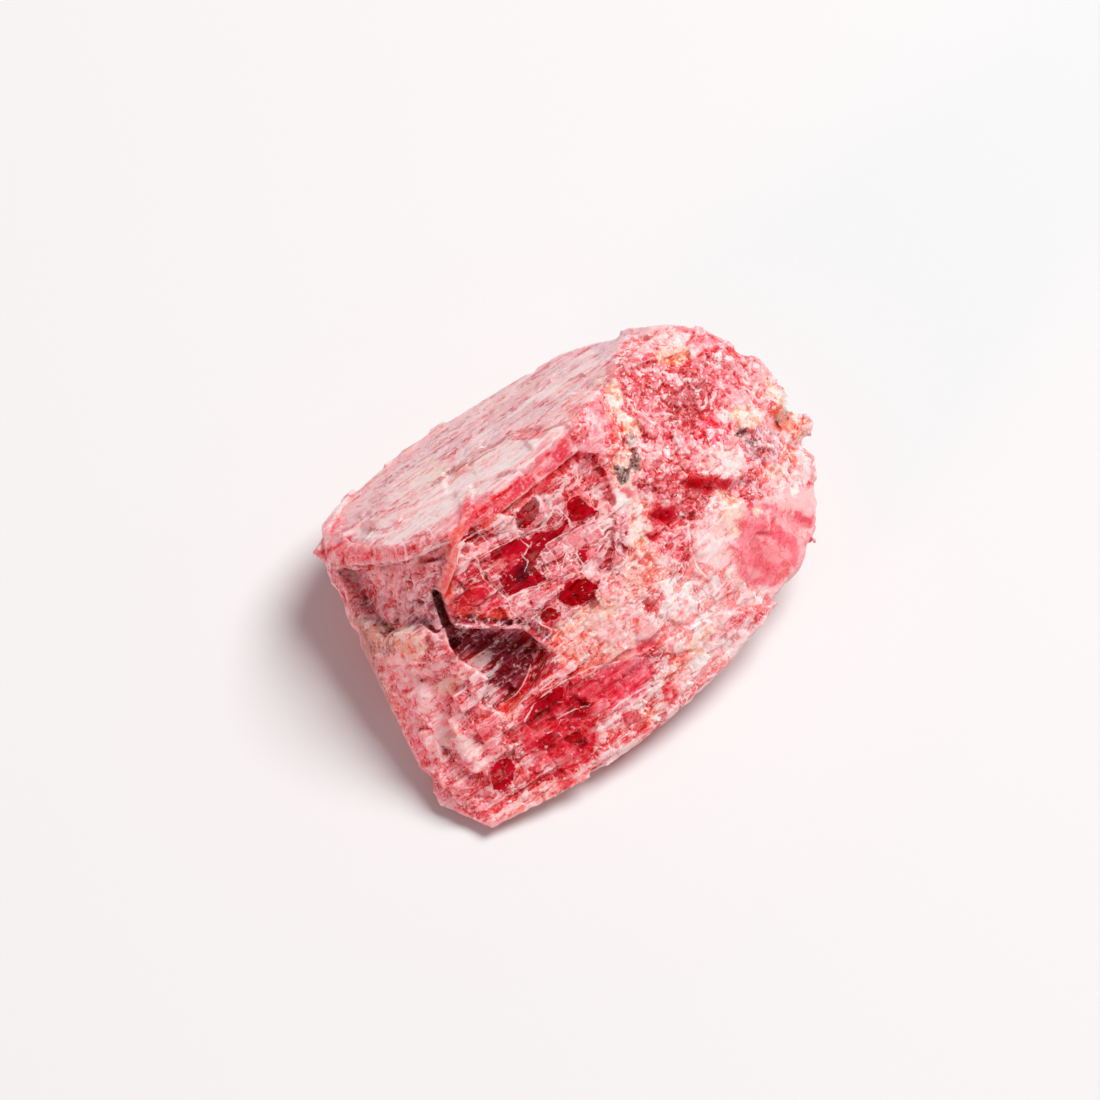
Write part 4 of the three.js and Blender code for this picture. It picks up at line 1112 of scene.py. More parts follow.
# %% Patches of the flakes
FLAKE_PATCHES = [
    ("blush", 0.8, 0.25, [(640, 596), (664, 586), (672, 610), (684, 630), (664, 650), (640, 640)]),
    ("petal", 0.9, 0.1, [(668, 592), (680, 587), (694, 592), (699, 604), (694, 622), (680, 630),
                        (668, 624), (664, 606)]),
    ("blush", 0.6, 0.15, oval(683, 604, 9, 10)),
    ("blush", 0.7, 0.2, [(704, 588), (724, 580), (740, 590), (736, 610), (716, 614), (706, 604)]),
    ("peach", 0.9, 0.08, [(688, 645), (700, 630), (712, 624), (716, 629), (703, 640), (694, 647)]),
    ("peach", 0.9, 0.08, [(664, 678), (676, 662), (688, 652), (699, 646), (703, 652), (691, 661),
                         (679, 670), (671, 681)]),
    ("coral", 0.6, 0.1, [(664, 678), (676, 662), (684, 656), (686, 662), (676, 672), (670, 680)]),
    ("dusty", 0.8, 0.1, [(718, 630), (724, 626), (730, 634), (729, 643), (720, 641)]),
    ("petal", 0.7, 0.12, [(702, 656), (714, 645), (728, 645), (736, 652), (728, 664), (706, 674)]),
    ("pink", 0.9, 0.18, [(729, 616), (750, 608), (764, 612), (758, 640), (744, 654), (730, 648)]),
    ("blush", 0.7, 0.15, [(736, 600), (766, 592), (776, 588), (768, 610), (744, 610)]),
    ("blush", 0.8, 0.15, [(680, 676), (706, 674), (728, 660), (740, 654), (716, 674), (690, 690)]),
    ("rose", 0.7, 0.12, [(632, 600), (648, 592), (664, 590), (660, 604), (640, 612)]),
    ("crimson", 0.95, 0.15, [(632, 648), (644, 640), (660, 642), (664, 660), (654, 672), (636, 662)]),
    ("rose", 0.9, 0.12, [(602, 664), (622, 660), (634, 664), (632, 674), (612, 680), (600, 676)]),
    ("coral", 0.8, 0.12, [(664, 660), (672, 650), (678, 656), (668, 668)]),
    ("blush", 0.8, 0.12, [(664, 684), (690, 682), (704, 684), (690, 700), (670, 712), (656, 704)]),
    ("scarlet", 0.9, 0.06, [(661, 688), (672, 683), (680, 690), (676, 700), (664, 702)]),
    ("scarlet", 0.6, 0.08, [(642, 700), (654, 694), (660, 702), (648, 710)]),
    ("scarlet", 0.95, 0.05, [(622, 716), (636, 711), (643, 719), (628, 727)]),
    ("pink", 0.7, 0.15, [(664, 706), (690, 694), (714, 676), (724, 670), (700, 696), (670, 718)]),
]
paint("flakes", FLAKE_PATCHES)

# %% [markdown]
# ## Windows and seams
#
# A window is a block that has stayed whole: it is clear, so it looks dark and deep red, and its edge is
# sharp. A mask kept at the mesh's points would blur that edge, so each point keeps its distance from the
# nearest window's edge instead, and the material cuts it sharp. Large and pale windows are only partly
# clear, as `CLARITY` says, and darker ones are laid inside them. The white seams between blocks and the
# short red strokes of the flakes are kept as the way to their middle line; those strokes are painted
# shade along the lifted edges of thin flakes.

# %% Windows of clear stone
WINDOWS = [
    ("crimson", [(514, 730), (522, 712), (532, 700), (545, 690), (564, 682), (590, 678), (606, 684),
                 (604, 700), (597, 716), (596, 742), (588, 762), (566, 770), (548, 764), (530, 754)]),
    ("candy", [(600, 668), (622, 662), (650, 658), (656, 672), (636, 696), (612, 712), (600, 704)]),
    ("wine", [(522, 508), (528, 503), (534, 499), (537, 503), (537, 511), (533, 520), (528, 527),
               (523, 528), (518, 527), (518, 520), (517, 514)]),
    ("glass", [(460, 541), (464, 536), (472, 532), (478, 533), (476, 538), (469, 541), (464, 542)]),
    ("glass", [(490, 552), (497, 546), (508, 541), (520, 537), (528, 539), (531, 544), (528, 549),
               (523, 553), (514, 556), (506, 560), (497, 563), (490, 560)]),
    ("crimson", [(484, 560), (498, 560), (512, 555), (520, 557), (512, 567), (504, 575), (496, 572),
                 (488, 568)]),
    ("wine", [(528, 549), (534, 542), (542, 541), (547, 546), (541, 552), (537, 559), (534, 567),
              (537, 571), (545, 574), (547, 580), (542, 583), (534, 586), (525, 590), (514, 594),
              (508, 596), (504, 587), (501, 579), (506, 573), (513, 567), (520, 560), (524, 555)]),
    ("garnet", [(517, 566), (527, 562), (531, 571), (525, 580), (518, 584), (514, 577)]),
    ("wine", [(529, 540), (537, 531), (546, 533), (553, 530), (562, 526), (567, 521), (568, 526),
              (563, 534), (556, 538), (549, 541), (542, 543), (535, 543)]),
    ("glass", [(568, 503), (572, 499), (579, 497), (584, 501), (591, 507), (599, 512), (597, 515),
               (587, 517), (579, 521), (572, 522), (567, 514)]),
    ("glass", [(558, 592), (565, 584), (574, 579), (584, 577), (591, 581), (597, 586), (596, 594),
               (591, 600), (583, 605), (576, 606), (567, 606), (560, 603), (557, 597)]),
    ("wine", [(565, 598), (574, 594), (584, 590), (596, 588), (596, 594), (591, 600), (583, 605),
              (576, 606), (568, 604)]),
    ("glass", [(539, 618), (542, 611), (549, 608), (558, 611), (561, 615), (556, 621), (549, 622),
               (543, 621)]),
    ("crimson", [(458, 596), (466, 591), (478, 588), (486, 589), (489, 596), (483, 604), (472, 607),
                 (461, 608)]),
    ("glass", [(578, 550), (587, 550), (585, 558), (581, 563)]),
    ("glass", [(530, 706), (539, 695), (551, 689), (564, 685), (566, 697), (562, 706), (552, 713),
               (541, 719), (531, 725), (528, 715)]),
    ("wine", [(534, 716), (544, 704), (556, 696), (564, 694), (560, 704), (548, 712), (538, 718)]),
    ("wine", [(565, 701), (575, 695), (586, 697), (592, 706), (586, 717), (575, 719), (566, 713)]),
    ("crimson", [(568, 737), (579, 731), (591, 729), (592, 744), (586, 756), (575, 762), (567, 754)]),
    ("glass", [(574, 742), (586, 736), (588, 746), (580, 754), (574, 750)]),
    ("lolly", [(580, 688), (595, 678), (613, 672), (627, 673), (622, 682), (614, 688), (626, 689),
                 (646, 676), (649, 680), (643, 690), (627, 697), (613, 704), (603, 713), (595, 711),
                 (592, 700), (583, 695)]),
    ("crimson", [(612, 690), (626, 690), (640, 680), (640, 686), (626, 694), (612, 698)]),
    ("glass", [(489, 772), (496, 762), (508, 758), (516, 766), (514, 780), (504, 792), (494, 788)]),
    ("crimson", [(475, 736), (482, 729), (493, 726), (494, 734), (486, 741), (476, 741)]),
    ("crimson", [(529, 768), (538, 764), (543, 772), (536, 779), (530, 776)]),
    ("crimson", [(504, 732), (516, 724), (526, 722), (528, 732), (518, 742), (506, 744)]),
    ("glass", [(536, 740), (548, 733), (558, 732), (556, 744), (544, 750), (536, 748)]),
    ("crimson", [(672, 478), (692, 474), (714, 476), (733, 479), (727, 489), (708, 494), (690, 492)]),
    ("glass", [(682, 480), (704, 478), (714, 484), (702, 489), (688, 488)]),
    ("crimson", [(646, 516), (652, 506), (664, 502), (677, 508), (680, 520), (670, 526), (654, 526)]),
    ("glass", [(650, 515), (657, 508), (668, 509), (675, 514), (670, 521), (658, 521)]),
    ("crimson", [(646, 534), (657, 530), (662, 536), (652, 543)]),
    ("crimson", [(622, 716), (636, 711), (643, 719), (629, 727)]),
    ("scarlet", [(664, 690), (674, 684), (682, 690), (676, 701), (664, 702)]),
]
CLARITY = {"candy": 0.5, "lolly": 0.45, "scarlet": 0.5, "crimson": 0.65}
HIDDEN_CLARITY = 0.9
NOWHERE_NEAR = -9.0
IN_VIEW = 0.05

pane_reach = np.full(len(places), NOWHERE_NEAR)
pane_tint = np.tile(colour("glass"), (len(places), 1))
clarity = np.full(len(places), HIDDEN_CLARITY)
for name, outline in WINDOWS:
    reach = signed_inside(true_across + 2 * jitter, true_down + 2 * judder, outline)
    reach = np.where(facing > IN_VIEW, reach, NOWHERE_NEAR)
    share = np.maximum(ramp(reach, -0.15, 0.15), reach > pane_reach)
    pane_tint = pane_tint + share[:, None] * (colour(name) - pane_tint)
    clarity = clarity + share * (CLARITY.get(name, 1.0) - clarity)
    pane_reach = np.maximum(pane_reach, reach)

stand, _, edge = fractures(in_crystal, (2.6, 1.1, 1.1), 711)
hidden_pane = np.minimum(stand - 0.55, 1.4 * edge - 0.1)
pane_reach = np.where(facing > IN_VIEW, pane_reach, hidden_pane)
print("points on windows:", int((pane_reach > 0).sum()))

# %% White seams between the blocks
SEAMS = [
    (1.0, [(466, 509), (480, 495), (497, 484), (514, 472), (532, 459), (548, 447), (569, 424)]),
    (0.8, [(352, 538), (376, 536), (404, 528), (430, 518), (460, 502)]),
    (1.0, [(477, 557), (479, 567), (483, 577), (490, 586), (500, 593), (507, 598), (511, 610),
           (520, 620)]),
    (0.8, [(478, 557), (490, 552), (508, 542), (521, 535), (538, 528), (547, 525)]),
    (0.9, [(508, 598), (528, 589), (546, 583), (556, 579), (570, 576), (583, 570)]),
    (0.8, [(545, 545), (556, 538), (572, 531), (584, 525), (597, 520)]),
    (0.9, [(559, 579), (563, 565), (567, 549)]),
    (0.8, [(576, 552), (583, 565), (590, 572)]),
    (1.4, [(594, 558), (600, 546), (611, 528)]),
    (0.8, [(546, 546), (556, 558), (559, 569)]),
    (0.8, [(538, 500), (544, 509), (546, 516), (542, 524)]),
    (1.0, [(556, 506), (551, 513), (546, 521), (541, 526)]),
    (0.8, [(556, 506), (566, 516), (572, 524)]),
    (0.9, [(456, 548), (462, 542), (470, 537), (486, 528), (500, 519)]),
    (0.9, [(488, 534), (500, 519), (504, 514)]),
    (1.0, [(493, 532), (499, 523), (510, 516)]),
    (0.8, [(476, 530), (484, 538), (490, 546)]),
    (0.8, [(457, 548), (466, 553), (476, 558)]),
    (0.9, [(520, 538), (528, 546), (524, 556)]),
    (0.8, [(522, 556), (528, 562), (524, 572)]),
    (0.9, [(512, 608), (530, 600), (548, 592), (557, 588)]),
    (0.8, [(516, 612), (520, 598), (530, 590)]),
    (1.2, [(532, 618), (544, 626), (556, 630)]),
    (1.1, [(398, 608), (396, 594), (399, 582), (406, 576)]),
    (0.9, [(404, 578), (416, 582), (424, 578), (438, 572)]),
    (0.8, [(402, 622), (416, 612), (432, 600), (440, 592)]),
    (0.8, [(404, 640), (420, 628), (440, 618)]),
    (1.0, [(376, 566), (398, 562), (420, 552), (450, 542)]),
    (0.9, [(433, 542), (420, 556), (404, 566)]),
    (1.0, [(531, 664), (527, 677), (518, 692), (506, 702)]),
    (0.9, [(524, 722), (534, 704), (550, 690), (566, 680), (590, 668), (620, 662)]),
    (0.9, [(556, 718), (570, 712), (590, 704)]),
    (0.8, [(560, 720), (556, 728), (548, 734)]),
    (1.0, [(612, 710), (624, 700), (640, 690), (654, 684)]),
    (0.9, [(600, 730), (620, 716), (640, 706), (660, 698)]),
    (0.8, [(540, 690), (556, 678), (566, 674)]),
    (0.9, [(463, 542), (458, 552), (457, 566)]),
    (0.8, [(406, 560), (406, 548), (400, 540)]),
    (0.8, [(434, 540), (430, 530), (420, 524)]),
    (1.2, [(688, 520), (690, 545), (696, 566), (706, 576)]),
    (1.0, [(702, 656), (716, 644), (736, 650)]),
    (1.0, [(552, 640), (564, 624), (580, 612)]),
]
print("seams:", len(SEAMS))

# %% Red strokes of the flakes and the pale face
STROKES = [
    # The strokes on the flakes are painted shade along the lifted edges of thin flakes.
    (1.0, [(692, 588), (697, 594), (699, 603), (698, 611), (696, 618)]),
    (0.8, [(697, 588), (702, 594), (703, 603)]),
    (0.7, [(702, 588), (706, 593), (707, 599)]),
    (0.8, [(672, 595), (676, 589), (683, 586)]),
    (0.9, [(672, 616), (677, 618), (680, 621), (677, 623)]),
    (0.9, [(690, 621), (696, 620), (700, 615)]),
    (1.1, [(687, 642), (692, 634), (699, 628), (707, 623)]),
    (0.8, [(686, 630), (696, 624), (711, 616), (719, 611)]),
    (1.0, [(644, 616), (651, 608), (659, 599)]),
    (0.9, [(656, 632), (664, 622), (668, 612)]),
    (0.8, [(648, 640), (660, 630), (666, 626)]),
    (0.7, [(706, 666), (716, 658), (728, 654)]),
    (0.7, [(690, 676), (704, 668), (718, 664)]),
    (1.2, [(373, 530), (384, 529), (396, 524), (403, 521)]),
    (0.9, [(376, 513), (388, 511), (400, 506), (410, 501)]),
    (0.8, [(356, 506), (365, 506), (376, 501)]),
    (1.0, [(426, 483), (441, 478), (453, 472), (466, 464), (478, 459), (491, 451), (502, 443)]),
    (1.8, [(497, 443), (506, 436), (512, 433), (526, 430), (539, 429)]),
    (1.2, [(509, 440), (524, 439), (531, 437)]),
    (1.6, [(542, 431), (555, 426), (570, 421), (588, 404)]),
    (1.4, [(560, 386), (570, 380), (580, 375), (584, 376)]),
    (1.0, [(479, 523), (500, 512), (530, 498), (553, 486), (560, 476), (572, 452)]),
    (0.8, [(470, 548), (484, 541), (497, 534), (520, 529), (528, 531)]),
    (1.0, [(448, 536), (440, 541), (424, 552), (410, 560)]),
    (1.4, [(404, 540), (416, 536), (430, 534)]),
]
# Parallel strokes across the flakes, also painted shade along flake edges.
HATCHES = 8
for number in range(HATCHES):
    right = 669 + 2.6 * number
    below = 584 - 5.2 * number
    STROKES.append((0.7, [(right, below), (right + 5, below - 7), (right + 9, below - 15)]))
print("strokes:", len(STROKES))

# %% The way from each point to the nearest line
def offset_from(lines):
    """At each point, the way to the nearest of some lines in view, in millimetres across and down.
    Unlike a plain distance, it changes evenly from one side of a line to the other, so a line can
    be drawn much finer than the mesh."""
    point_across = true_across + 2 * wobble + 1.5 * jitter
    point_down = true_down + 2 * waver + 1.5 * judder
    offset = np.full((len(places), 3), 3.0)
    nearest = np.full(len(places), 3.0)
    for strength, corners in lines:
        for start, end in zip(corners[:-1], corners[1:]):
            step = np.subtract(end, start)
            from_start = point_across - start[0], point_down - start[1]
            part = np.clip((from_start[0] * step[0] + from_start[1] * step[1]) / (step @ step), 0, 1)
            right = (from_start[0] - part * step[0]) / PIXELS_PER_MM / strength
            below = (from_start[1] - part * step[1]) / PIXELS_PER_MM / strength
            gap = np.where(facing > IN_VIEW, np.hypot(right, below), -NOWHERE_NEAR)
            nearer = gap < nearest
            nearest = np.where(nearer, gap, nearest)
            offset[nearer] = np.stack([right, below, np.zeros(len(places))], axis=1)[nearer]
    print("points near", len(lines), "lines:", int((nearest < 0.2).sum()))
    return offset


seam_offset = offset_from(SEAMS)
stroke_offset = offset_from(STROKES)

# %% Edges and hollows of the relief
EVEN_ROUNDS = 6

smooth_places = averaged(stone, places, EVEN_ROUNDS)
smooth_normals = averaged(stone, normals, EVEN_ROUNDS)
standing = np.sum((places - smooth_places) * smooth_normals, axis=1)
# Crests are whitened in the material, partly as crushed stone and partly as a painted highlight.
crest_crush_and_highlight = ramp(standing, 0.015, 0.09)
# Pits are made deeper red in the material: painted shade, red as light filtered through the stone.
pit_shade = ramp(-standing, 0.015, 0.12)
print("crests:", round(float(crest_crush_and_highlight.mean()), 3), "pits:", round(float(pit_shade.mean()), 3))

# %% [markdown]
# ## What the stone is made of, place by place
#
# The same mineral looks netted where cracks part it into blocks, sugary where it is crushed, streaked
# where it splits into fibres, curled where thin flakes lift off, milky or glassy. Each of these is a
# number from 0 to 1 at every point, and the material mixes its patterns by them.

# %% Where the stone is netted, sugary, streaked, milky or glassy
def weight(outline, soft=0.4):
    """How much of each point belongs to an outline in view, from 0 to 1."""
    return facing * ramp(signed_inside(across, down, outline), -soft, soft)


KNUCKLE_EDGE = [(600, 376), (646, 420), (648, 490), (612, 494)]
HOLLOW_DEPTHS = [(488, 648), (536, 648), (536, 664), (516, 694), (488, 690), (498, 668)]
hidden = 1 - facing
in_part = {name: weight(outline) for name, outline in PARTS.items()}


def spread(unseen=0.0, **shares):
    """A value for the sides that face away, and a share of each named part in view."""
    return unseen * hidden + sum(share * in_part[name] for name, share in shares.items())


netted = spread(
    0.35, bricks=0.9, ledge=0.5, lower_front=0.6, lower_left=0.4, left_end=0.4, flakes=0.6, red_band=0.3,
    lens=0.3, white_mound=0.4, cream_band=0.35, knuckle=0.3, tongue=0.3, rim=0.35,
)
sugary = spread(
    0.4, crown=0.6, cream_band=0.45, red_pits=0.65, knuckle=0.3, lower_left=0.2, lower_front=0.3,
    pale_face=0.25, hollow=0.4, left_end=0.2, flakes=0.2, red_band=0.1, ledge=0.1,
)
sugary += 0.7 * weight(KNUCKLE_EDGE) * (1 - in_part["crown"])
streaked = spread(
    0.35, pale_face=0.35, left_end=0.6, hollow=0.6, white_mound=0.5, flakes=0.4, lower_front=0.7,
    lower_left=0.6, ledge=0.4, bricks=0.25, cream_band=0.3, red_band=0.4, tongue=0.9,
)
glassy = spread(
    bricks=0.9, lower_front=0.8, red_band=0.5, ledge=0.4, left_end=0.4, lower_left=0.4, red_pits=0.4,
)
milky = 0.3 + spread(
    pale_face=0.3, flakes=0.6, white_mound=0.4, cream_band=0.4, crown=0.15, hollow=-0.25,
    lower_left=0.7, left_end=0.3, knuckle=0.3, red_pits=0.2, red_band=-0.15, lens=-0.1,
)
curled = spread(flakes=1, cream_band=0.5, white_mound=0.4, lens=0.4)

knob_foot = weight(KNOB_FOOT)
sugary *= (0.7 + 0.6 * cloud((3.0, 1.6, 1.6), 681, 0.42, 0.58)) * (1 - knob_foot)
streaked *= 1 - 0.5 * weight(HOLLOW_DEPTHS)
crest_crush_and_highlight *= (1 - 0.7 * weight(HOLLOW, 0.8)) * (1 - knob_foot)
milky *= 1 - knob_foot
tint = facing[:, None] * tint + hidden[:, None] * hidden_tint
print("netted", round(float(netted.mean()), 2), "sugary", round(float(sugary.mean()), 2))

# %% Keep the colours and numbers with the mesh
def keep_way(name, values):
    """Store a way across and down at each point of the stone."""
    layer = stone.data.attributes.new(name, "FLOAT_VECTOR", "POINT")
    layer.data.foreach_set("vector", values.astype(np.float32).ravel())


def keep(name, values):
    """Store one number or one colour at each point of the stone."""
    if values.ndim == 1:
        layer = stone.data.attributes.new(name, "FLOAT", "POINT")
        layer.data.foreach_set("value", values.astype(np.float32))
        return
    layer = stone.data.attributes.new(name, "FLOAT_COLOR", "POINT")
    solid_colour = np.concatenate([values, np.ones((len(values), 1))], axis=1)
    layer.data.foreach_set("color", solid_colour.astype(np.float32).ravel())


keep("tint", np.clip(tint, 0, 1))
keep("pane_tint", pane_tint)
keep("pane_reach", np.clip(pane_reach, -1, 1))
keep("clarity", clarity)
keep_way("seam_offset", seam_offset)
keep_way("stroke_offset", stroke_offset)
MARKS = {
    "crest_crush_and_highlight": crest_crush_and_highlight, "pit_shade": pit_shade, "netted": netted, "sugary": sugary, "streaked": streaked,
    "curled": curled, "milky": milky, "glassy": glassy,
}
for name, values in MARKS.items():
    keep(name, np.clip(values, 0, 1))
print("kept at each point:", [layer.name for layer in stone.data.attributes])

# %% [markdown]
# ## The glassy material
#
# Up close, the stone is red glass full of white cracks. The material starts from the tint at each point
# and does to it what the crystal does to light: a clear, thick place is deeper (the Gamma node stands for
# a longer way through the glass), and a crushed place is whiter. A net of fine cracks, sugary grains and
# streaks along the crystal decide where. Pits of the relief are also made deeper, as painted shade, and
# crests whiter, partly as crushed stone and partly as a painted highlight; tiny white specks are painted
# glints. Small facets of the bump catch the lamp one by one, and light that enters the stone comes out
# again a little way off, mostly the red part of it.

# %% A helper for shader sums
class Wire:
    """A socket or a number that can be used in a Python expression, which adds the Math nodes."""

    def __init__(self, finish, socket):
        self.finish = finish
        self.socket = socket

    def math(self, operation, *others):
        values = dict(enumerate((self,) + others))
        return self.finish.node("ShaderNodeMath", {"operation": operation}, values)

    def __add__(self, other):
        return self.math("ADD", other)

    __radd__ = __add__

    def __mul__(self, other):
        return self.math("MULTIPLY", other)

    __rmul__ = __mul__

    def __sub__(self, other):
        return self.math("SUBTRACT", other)

    def __rsub__(self, other):
        return (self * -1.0) + other

    def also(self, output):
        """Another output of the same node."""
        return Wire(self.finish, self.socket.node.outputs[output])

    def between(self, start, end):
        """0 before start, 1 after end and smooth between them; start may be above end."""
        settings = {"interpolation_type": "SMOOTHSTEP", "clamp": True}
        values = {"Value": self, "From Min": start, "From Max": end, "To Min": 0.0, "To Max": 1.0}
        if start > end:
            values.update({"From Min": end, "From Max": start, "To Min": 1.0, "To Max": 0.0})
        return self.finish.node("ShaderNodeMapRange", settings, values)

# %% A helper for the material's nodes
class Finish:
    """A material whose nodes are added one by one."""

    def __init__(self, name):
        self.material = bpy.data.materials.new(name)
        self.material.use_nodes = True
        self.tree = self.material.node_tree
        self.shader = self.tree.nodes["Principled BSDF"]

    def node(self, kind, settings=None, values=None, output=0):
        """Add a node: its settings first, then its sockets' values or links."""
        made = self.tree.nodes.new(kind)
        for name, value in (settings or {}).items():
            setattr(made, name, value)
        for name, value in (values or {}).items():
            self.feed(made.inputs[name], value)
        return Wire(self, made.outputs[output])

    def feed(self, socket, value):
        """Link a wire to a socket, or set the socket's own value."""
        if isinstance(value, Wire):
            self.tree.links.new(value.socket, socket)
        elif hasattr(socket.default_value, "__len__") and len(socket.default_value) == 4:
            socket.default_value = (*value[:3], 1.0)
        else:
            socket.default_value = value

    def kept(self, name, output=2):
        """What is kept with the mesh under a name: a number, or the colour or the way it holds."""
        return self.node("ShaderNodeAttribute", {"attribute_name": name}, output=output)

    def blend(self, amount, first, second, how="MIX"):
        """Two colours mixed by an amount."""
        settings = {"data_type": "RGBA", "blend_type": how, "clamp_factor": True}
        return self.node("ShaderNodeMix", settings, {0: amount, 6: first, 7: second}, output=2)

    def vector(self, operation, *values, output=0):
        """Vector sums; output 1 is the single number of a length or a dot product."""
        settings = {"operation": operation}
        return self.node("ShaderNodeVectorMath", settings, dict(enumerate(values)), output)

    def noise(self, places, scale, detail=3.0, roughness=0.55, output=0):
        """Soft cloudy noise: about scale hills in each unit of the places."""
        values = {"Vector": places, "Scale": scale, "Detail": detail, "Roughness": roughness}
        return self.node("ShaderNodeTexNoise", {}, values, output)

    def cells(self, places, scale, feature="F1", output=0, metric="EUCLIDEAN"):
        """Space broken into cells: output 0 is a distance, 1 the cell's own colour."""
        settings = {"feature": feature}
        if feature != "DISTANCE_TO_EDGE":
            settings["distance"] = metric
        values = {"Vector": places, "Scale": scale, "Randomness": 0.9}
        return self.node("ShaderNodeTexVoronoi", settings, values, output)

# %% Start the material
HALF = (0.5, 0.5, 0.5)
OBJECT_PLACE = 3
rhodonite = Finish("rhodonite")
print("started material:", rhodonite.material.name)

# %% Places in the stone and along its crystal
spot = rhodonite.node("ShaderNodeTexCoord", output=OBJECT_PLACE)
spot = rhodonite.vector("MULTIPLY", spot, (1 / MM, 1 / MM, 1 / MM))
lean_noise = rhodonite.vector("SUBTRACT", rhodonite.noise(spot, 0.8, 2.0, output=1), HALF)
bent = rhodonite.vector("MULTIPLY_ADD", lean_noise, (0.9, 0.9, 0.9), spot)
crystal_axes = [rhodonite.vector("DOT_PRODUCT", bent, tuple(axis), output=1) for axis in CRYSTAL]
crystal = rhodonite.node("ShaderNodeCombineXYZ", {}, dict(enumerate(crystal_axes)))
slight = rhodonite.vector("MULTIPLY_ADD", lean_noise, (0.27, 0.27, 0.27), spot)
fibre_axes = [rhodonite.vector("DOT_PRODUCT", slight, tuple(axis), output=1) for axis in CRYSTAL]
fibre = rhodonite.node("ShaderNodeCombineXYZ", {}, dict(enumerate(fibre_axes)))
stretched = rhodonite.vector("MULTIPLY", fibre, (0.14, 1.0, 1.0))
squat = rhodonite.vector("MULTIPLY", crystal, (0.55, 1.0, 0.9))
print("nodes so far:", len(rhodonite.tree.nodes))

# %% Cracks, grains and streaks
tint_here = rhodonite.kept("tint", output=0)
pane_tint_here = rhodonite.kept("pane_tint", output=0)
netted_here = rhodonite.kept("netted")
sugary_here = rhodonite.kept("sugary")
streaked_here = rhodonite.kept("streaked")
curled_here = rhodonite.kept("curled")
milky_here = rhodonite.kept("milky")
glassy_here = rhodonite.kept("glassy")

mottle = rhodonite.noise(squat, 0.75, 4.0, 0.6)
grit = rhodonite.noise(spot, 6.0, 3.0, 0.65)
patchy = rhodonite.noise(spot, 0.9, 2.0, 0.5)
ripple = rhodonite.noise(spot, 0.45, 1.0, 0.5)


def split(places, scale):
    """Break space into flat-sided cells: a random number for each cell, and how far its edge is."""
    near = rhodonite.cells(places, scale, metric="CHEBYCHEV")
    own = rhodonite.node("ShaderNodeSeparateColor", {}, {"Color": near.also(1)})
    far = rhodonite.cells(places, scale, "F2", metric="CHEBYCHEV")
    return own, far - near


block, block_gap = split(squat, 0.95)
chip, chip_gap = split(squat, 2.4)
block_line = (block_gap + (grit - 0.5) * 0.12).between(0.09, 0.03) * patchy.between(0.4, 0.55)
chip_line = (chip_gap + (grit - 0.5) * 0.2).between(0.1, 0.03) * ripple.between(0.5, 0.6)
lines = netted_here * (block_line * 0.5 + chip_line * 0.4) * (glassy_here * 0.5 + 0.8)
blocky = (block - 0.5) * (curled_here + 0.9) + (chip - 0.5) * 0.75 + (mottle - 0.5) * 1.6

crumbling = rhodonite.vector("SUBTRACT", rhodonite.noise(spot, 2.6, 2.0, 0.6, output=1), HALF)
crumbled = rhodonite.vector("MULTIPLY_ADD", crumbling, (0.14, 0.14, 0.14), bent)
grain, grain_gap = split(crumbled, 1.9)
crumb, crumb_gap = split(crumbled, 4.6)
grainy = (grain - 0.5) * 1.6 + (crumb - 0.5) * 0.85 + (patchy - 0.5) * 2.0
grainy = grainy - grain_gap.between(0.1, 0.0) * 0.35

streak = rhodonite.noise(stretched, 2.6, 4.0, 0.65)
streak_fine = rhodonite.noise(stretched, 8.0, 2.0, 0.6)
sliver = split(stretched, 2.6)[0]
streaky = (sliver - 0.5) * 1.5 + (streak - 0.5) * 2.4 + (streak_fine - 0.5) * 1.6
print("nodes so far:", len(rhodonite.tree.nodes))

# %% Windows, depth and frost
LEAST_RED = 0.8
LEAST_DEPTH = 0.9
MOST_FROST = 0.92

pane_reach_here = rhodonite.kept("pane_reach")
pane_line = pane_reach_here + (chip - 0.5) * 0.22 + (block - 0.3) * 0.12 + (grit - 0.5) * 0.2
clear = pane_line.between(-0.06, 0.05) * rhodonite.kept("clarity")
halo = pane_reach_here.between(-0.4, 0.05) * 0.45
pane_rim = pane_line.between(-0.16, -0.04) * pane_line.between(0.03, -0.04)


def line_along(name, half_width):
    """A fine line where a kept offset is almost nothing."""
    away = rhodonite.vector("LENGTH", rhodonite.kept(name, output=1), output=1)
    gap = away + (grit - 0.5) * 0.1 - (patchy - 0.5) * 0.15
    return gap.between(half_width, half_width * 0.4)


seam = line_along("seam_offset", 0.065) * (patchy + grit * 0.5).between(0.5, 0.75)
stroke = line_along("stroke_offset", 0.07) * (grit + patchy).between(0.8, 1.1)
crest_crush_and_highlight_here = rhodonite.kept("crest_crush_and_highlight")
pit_shade_here = rhodonite.kept("pit_shade")

texture = netted_here * blocky + sugary_here * grainy + streaked_here * streaky + (grit - 0.5) * 0.3
white = texture.between(0.05, 0.67)
dark = texture.between(-0.05, -0.63)
flake_line = (block_gap + (grit - 0.5) * 0.1).between(0.07, 0.0) * patchy.between(0.4, 0.55)
flake_crack = (chip_gap + (grit - 0.5) * 0.1).between(0.1, 0.0)
flake_line = flake_line + flake_crack * mottle.between(0.5, 0.62) * 0.6
# Pits of the relief also deepen the tint here: painted shade.
depth = 0.82 + dark * 1.6 + pit_shade_here * 1.4 + flake_line * curled_here * 2.4
deep_tint = rhodonite.node("ShaderNodeGamma", {}, {"Color": tint_here, "Gamma": depth})
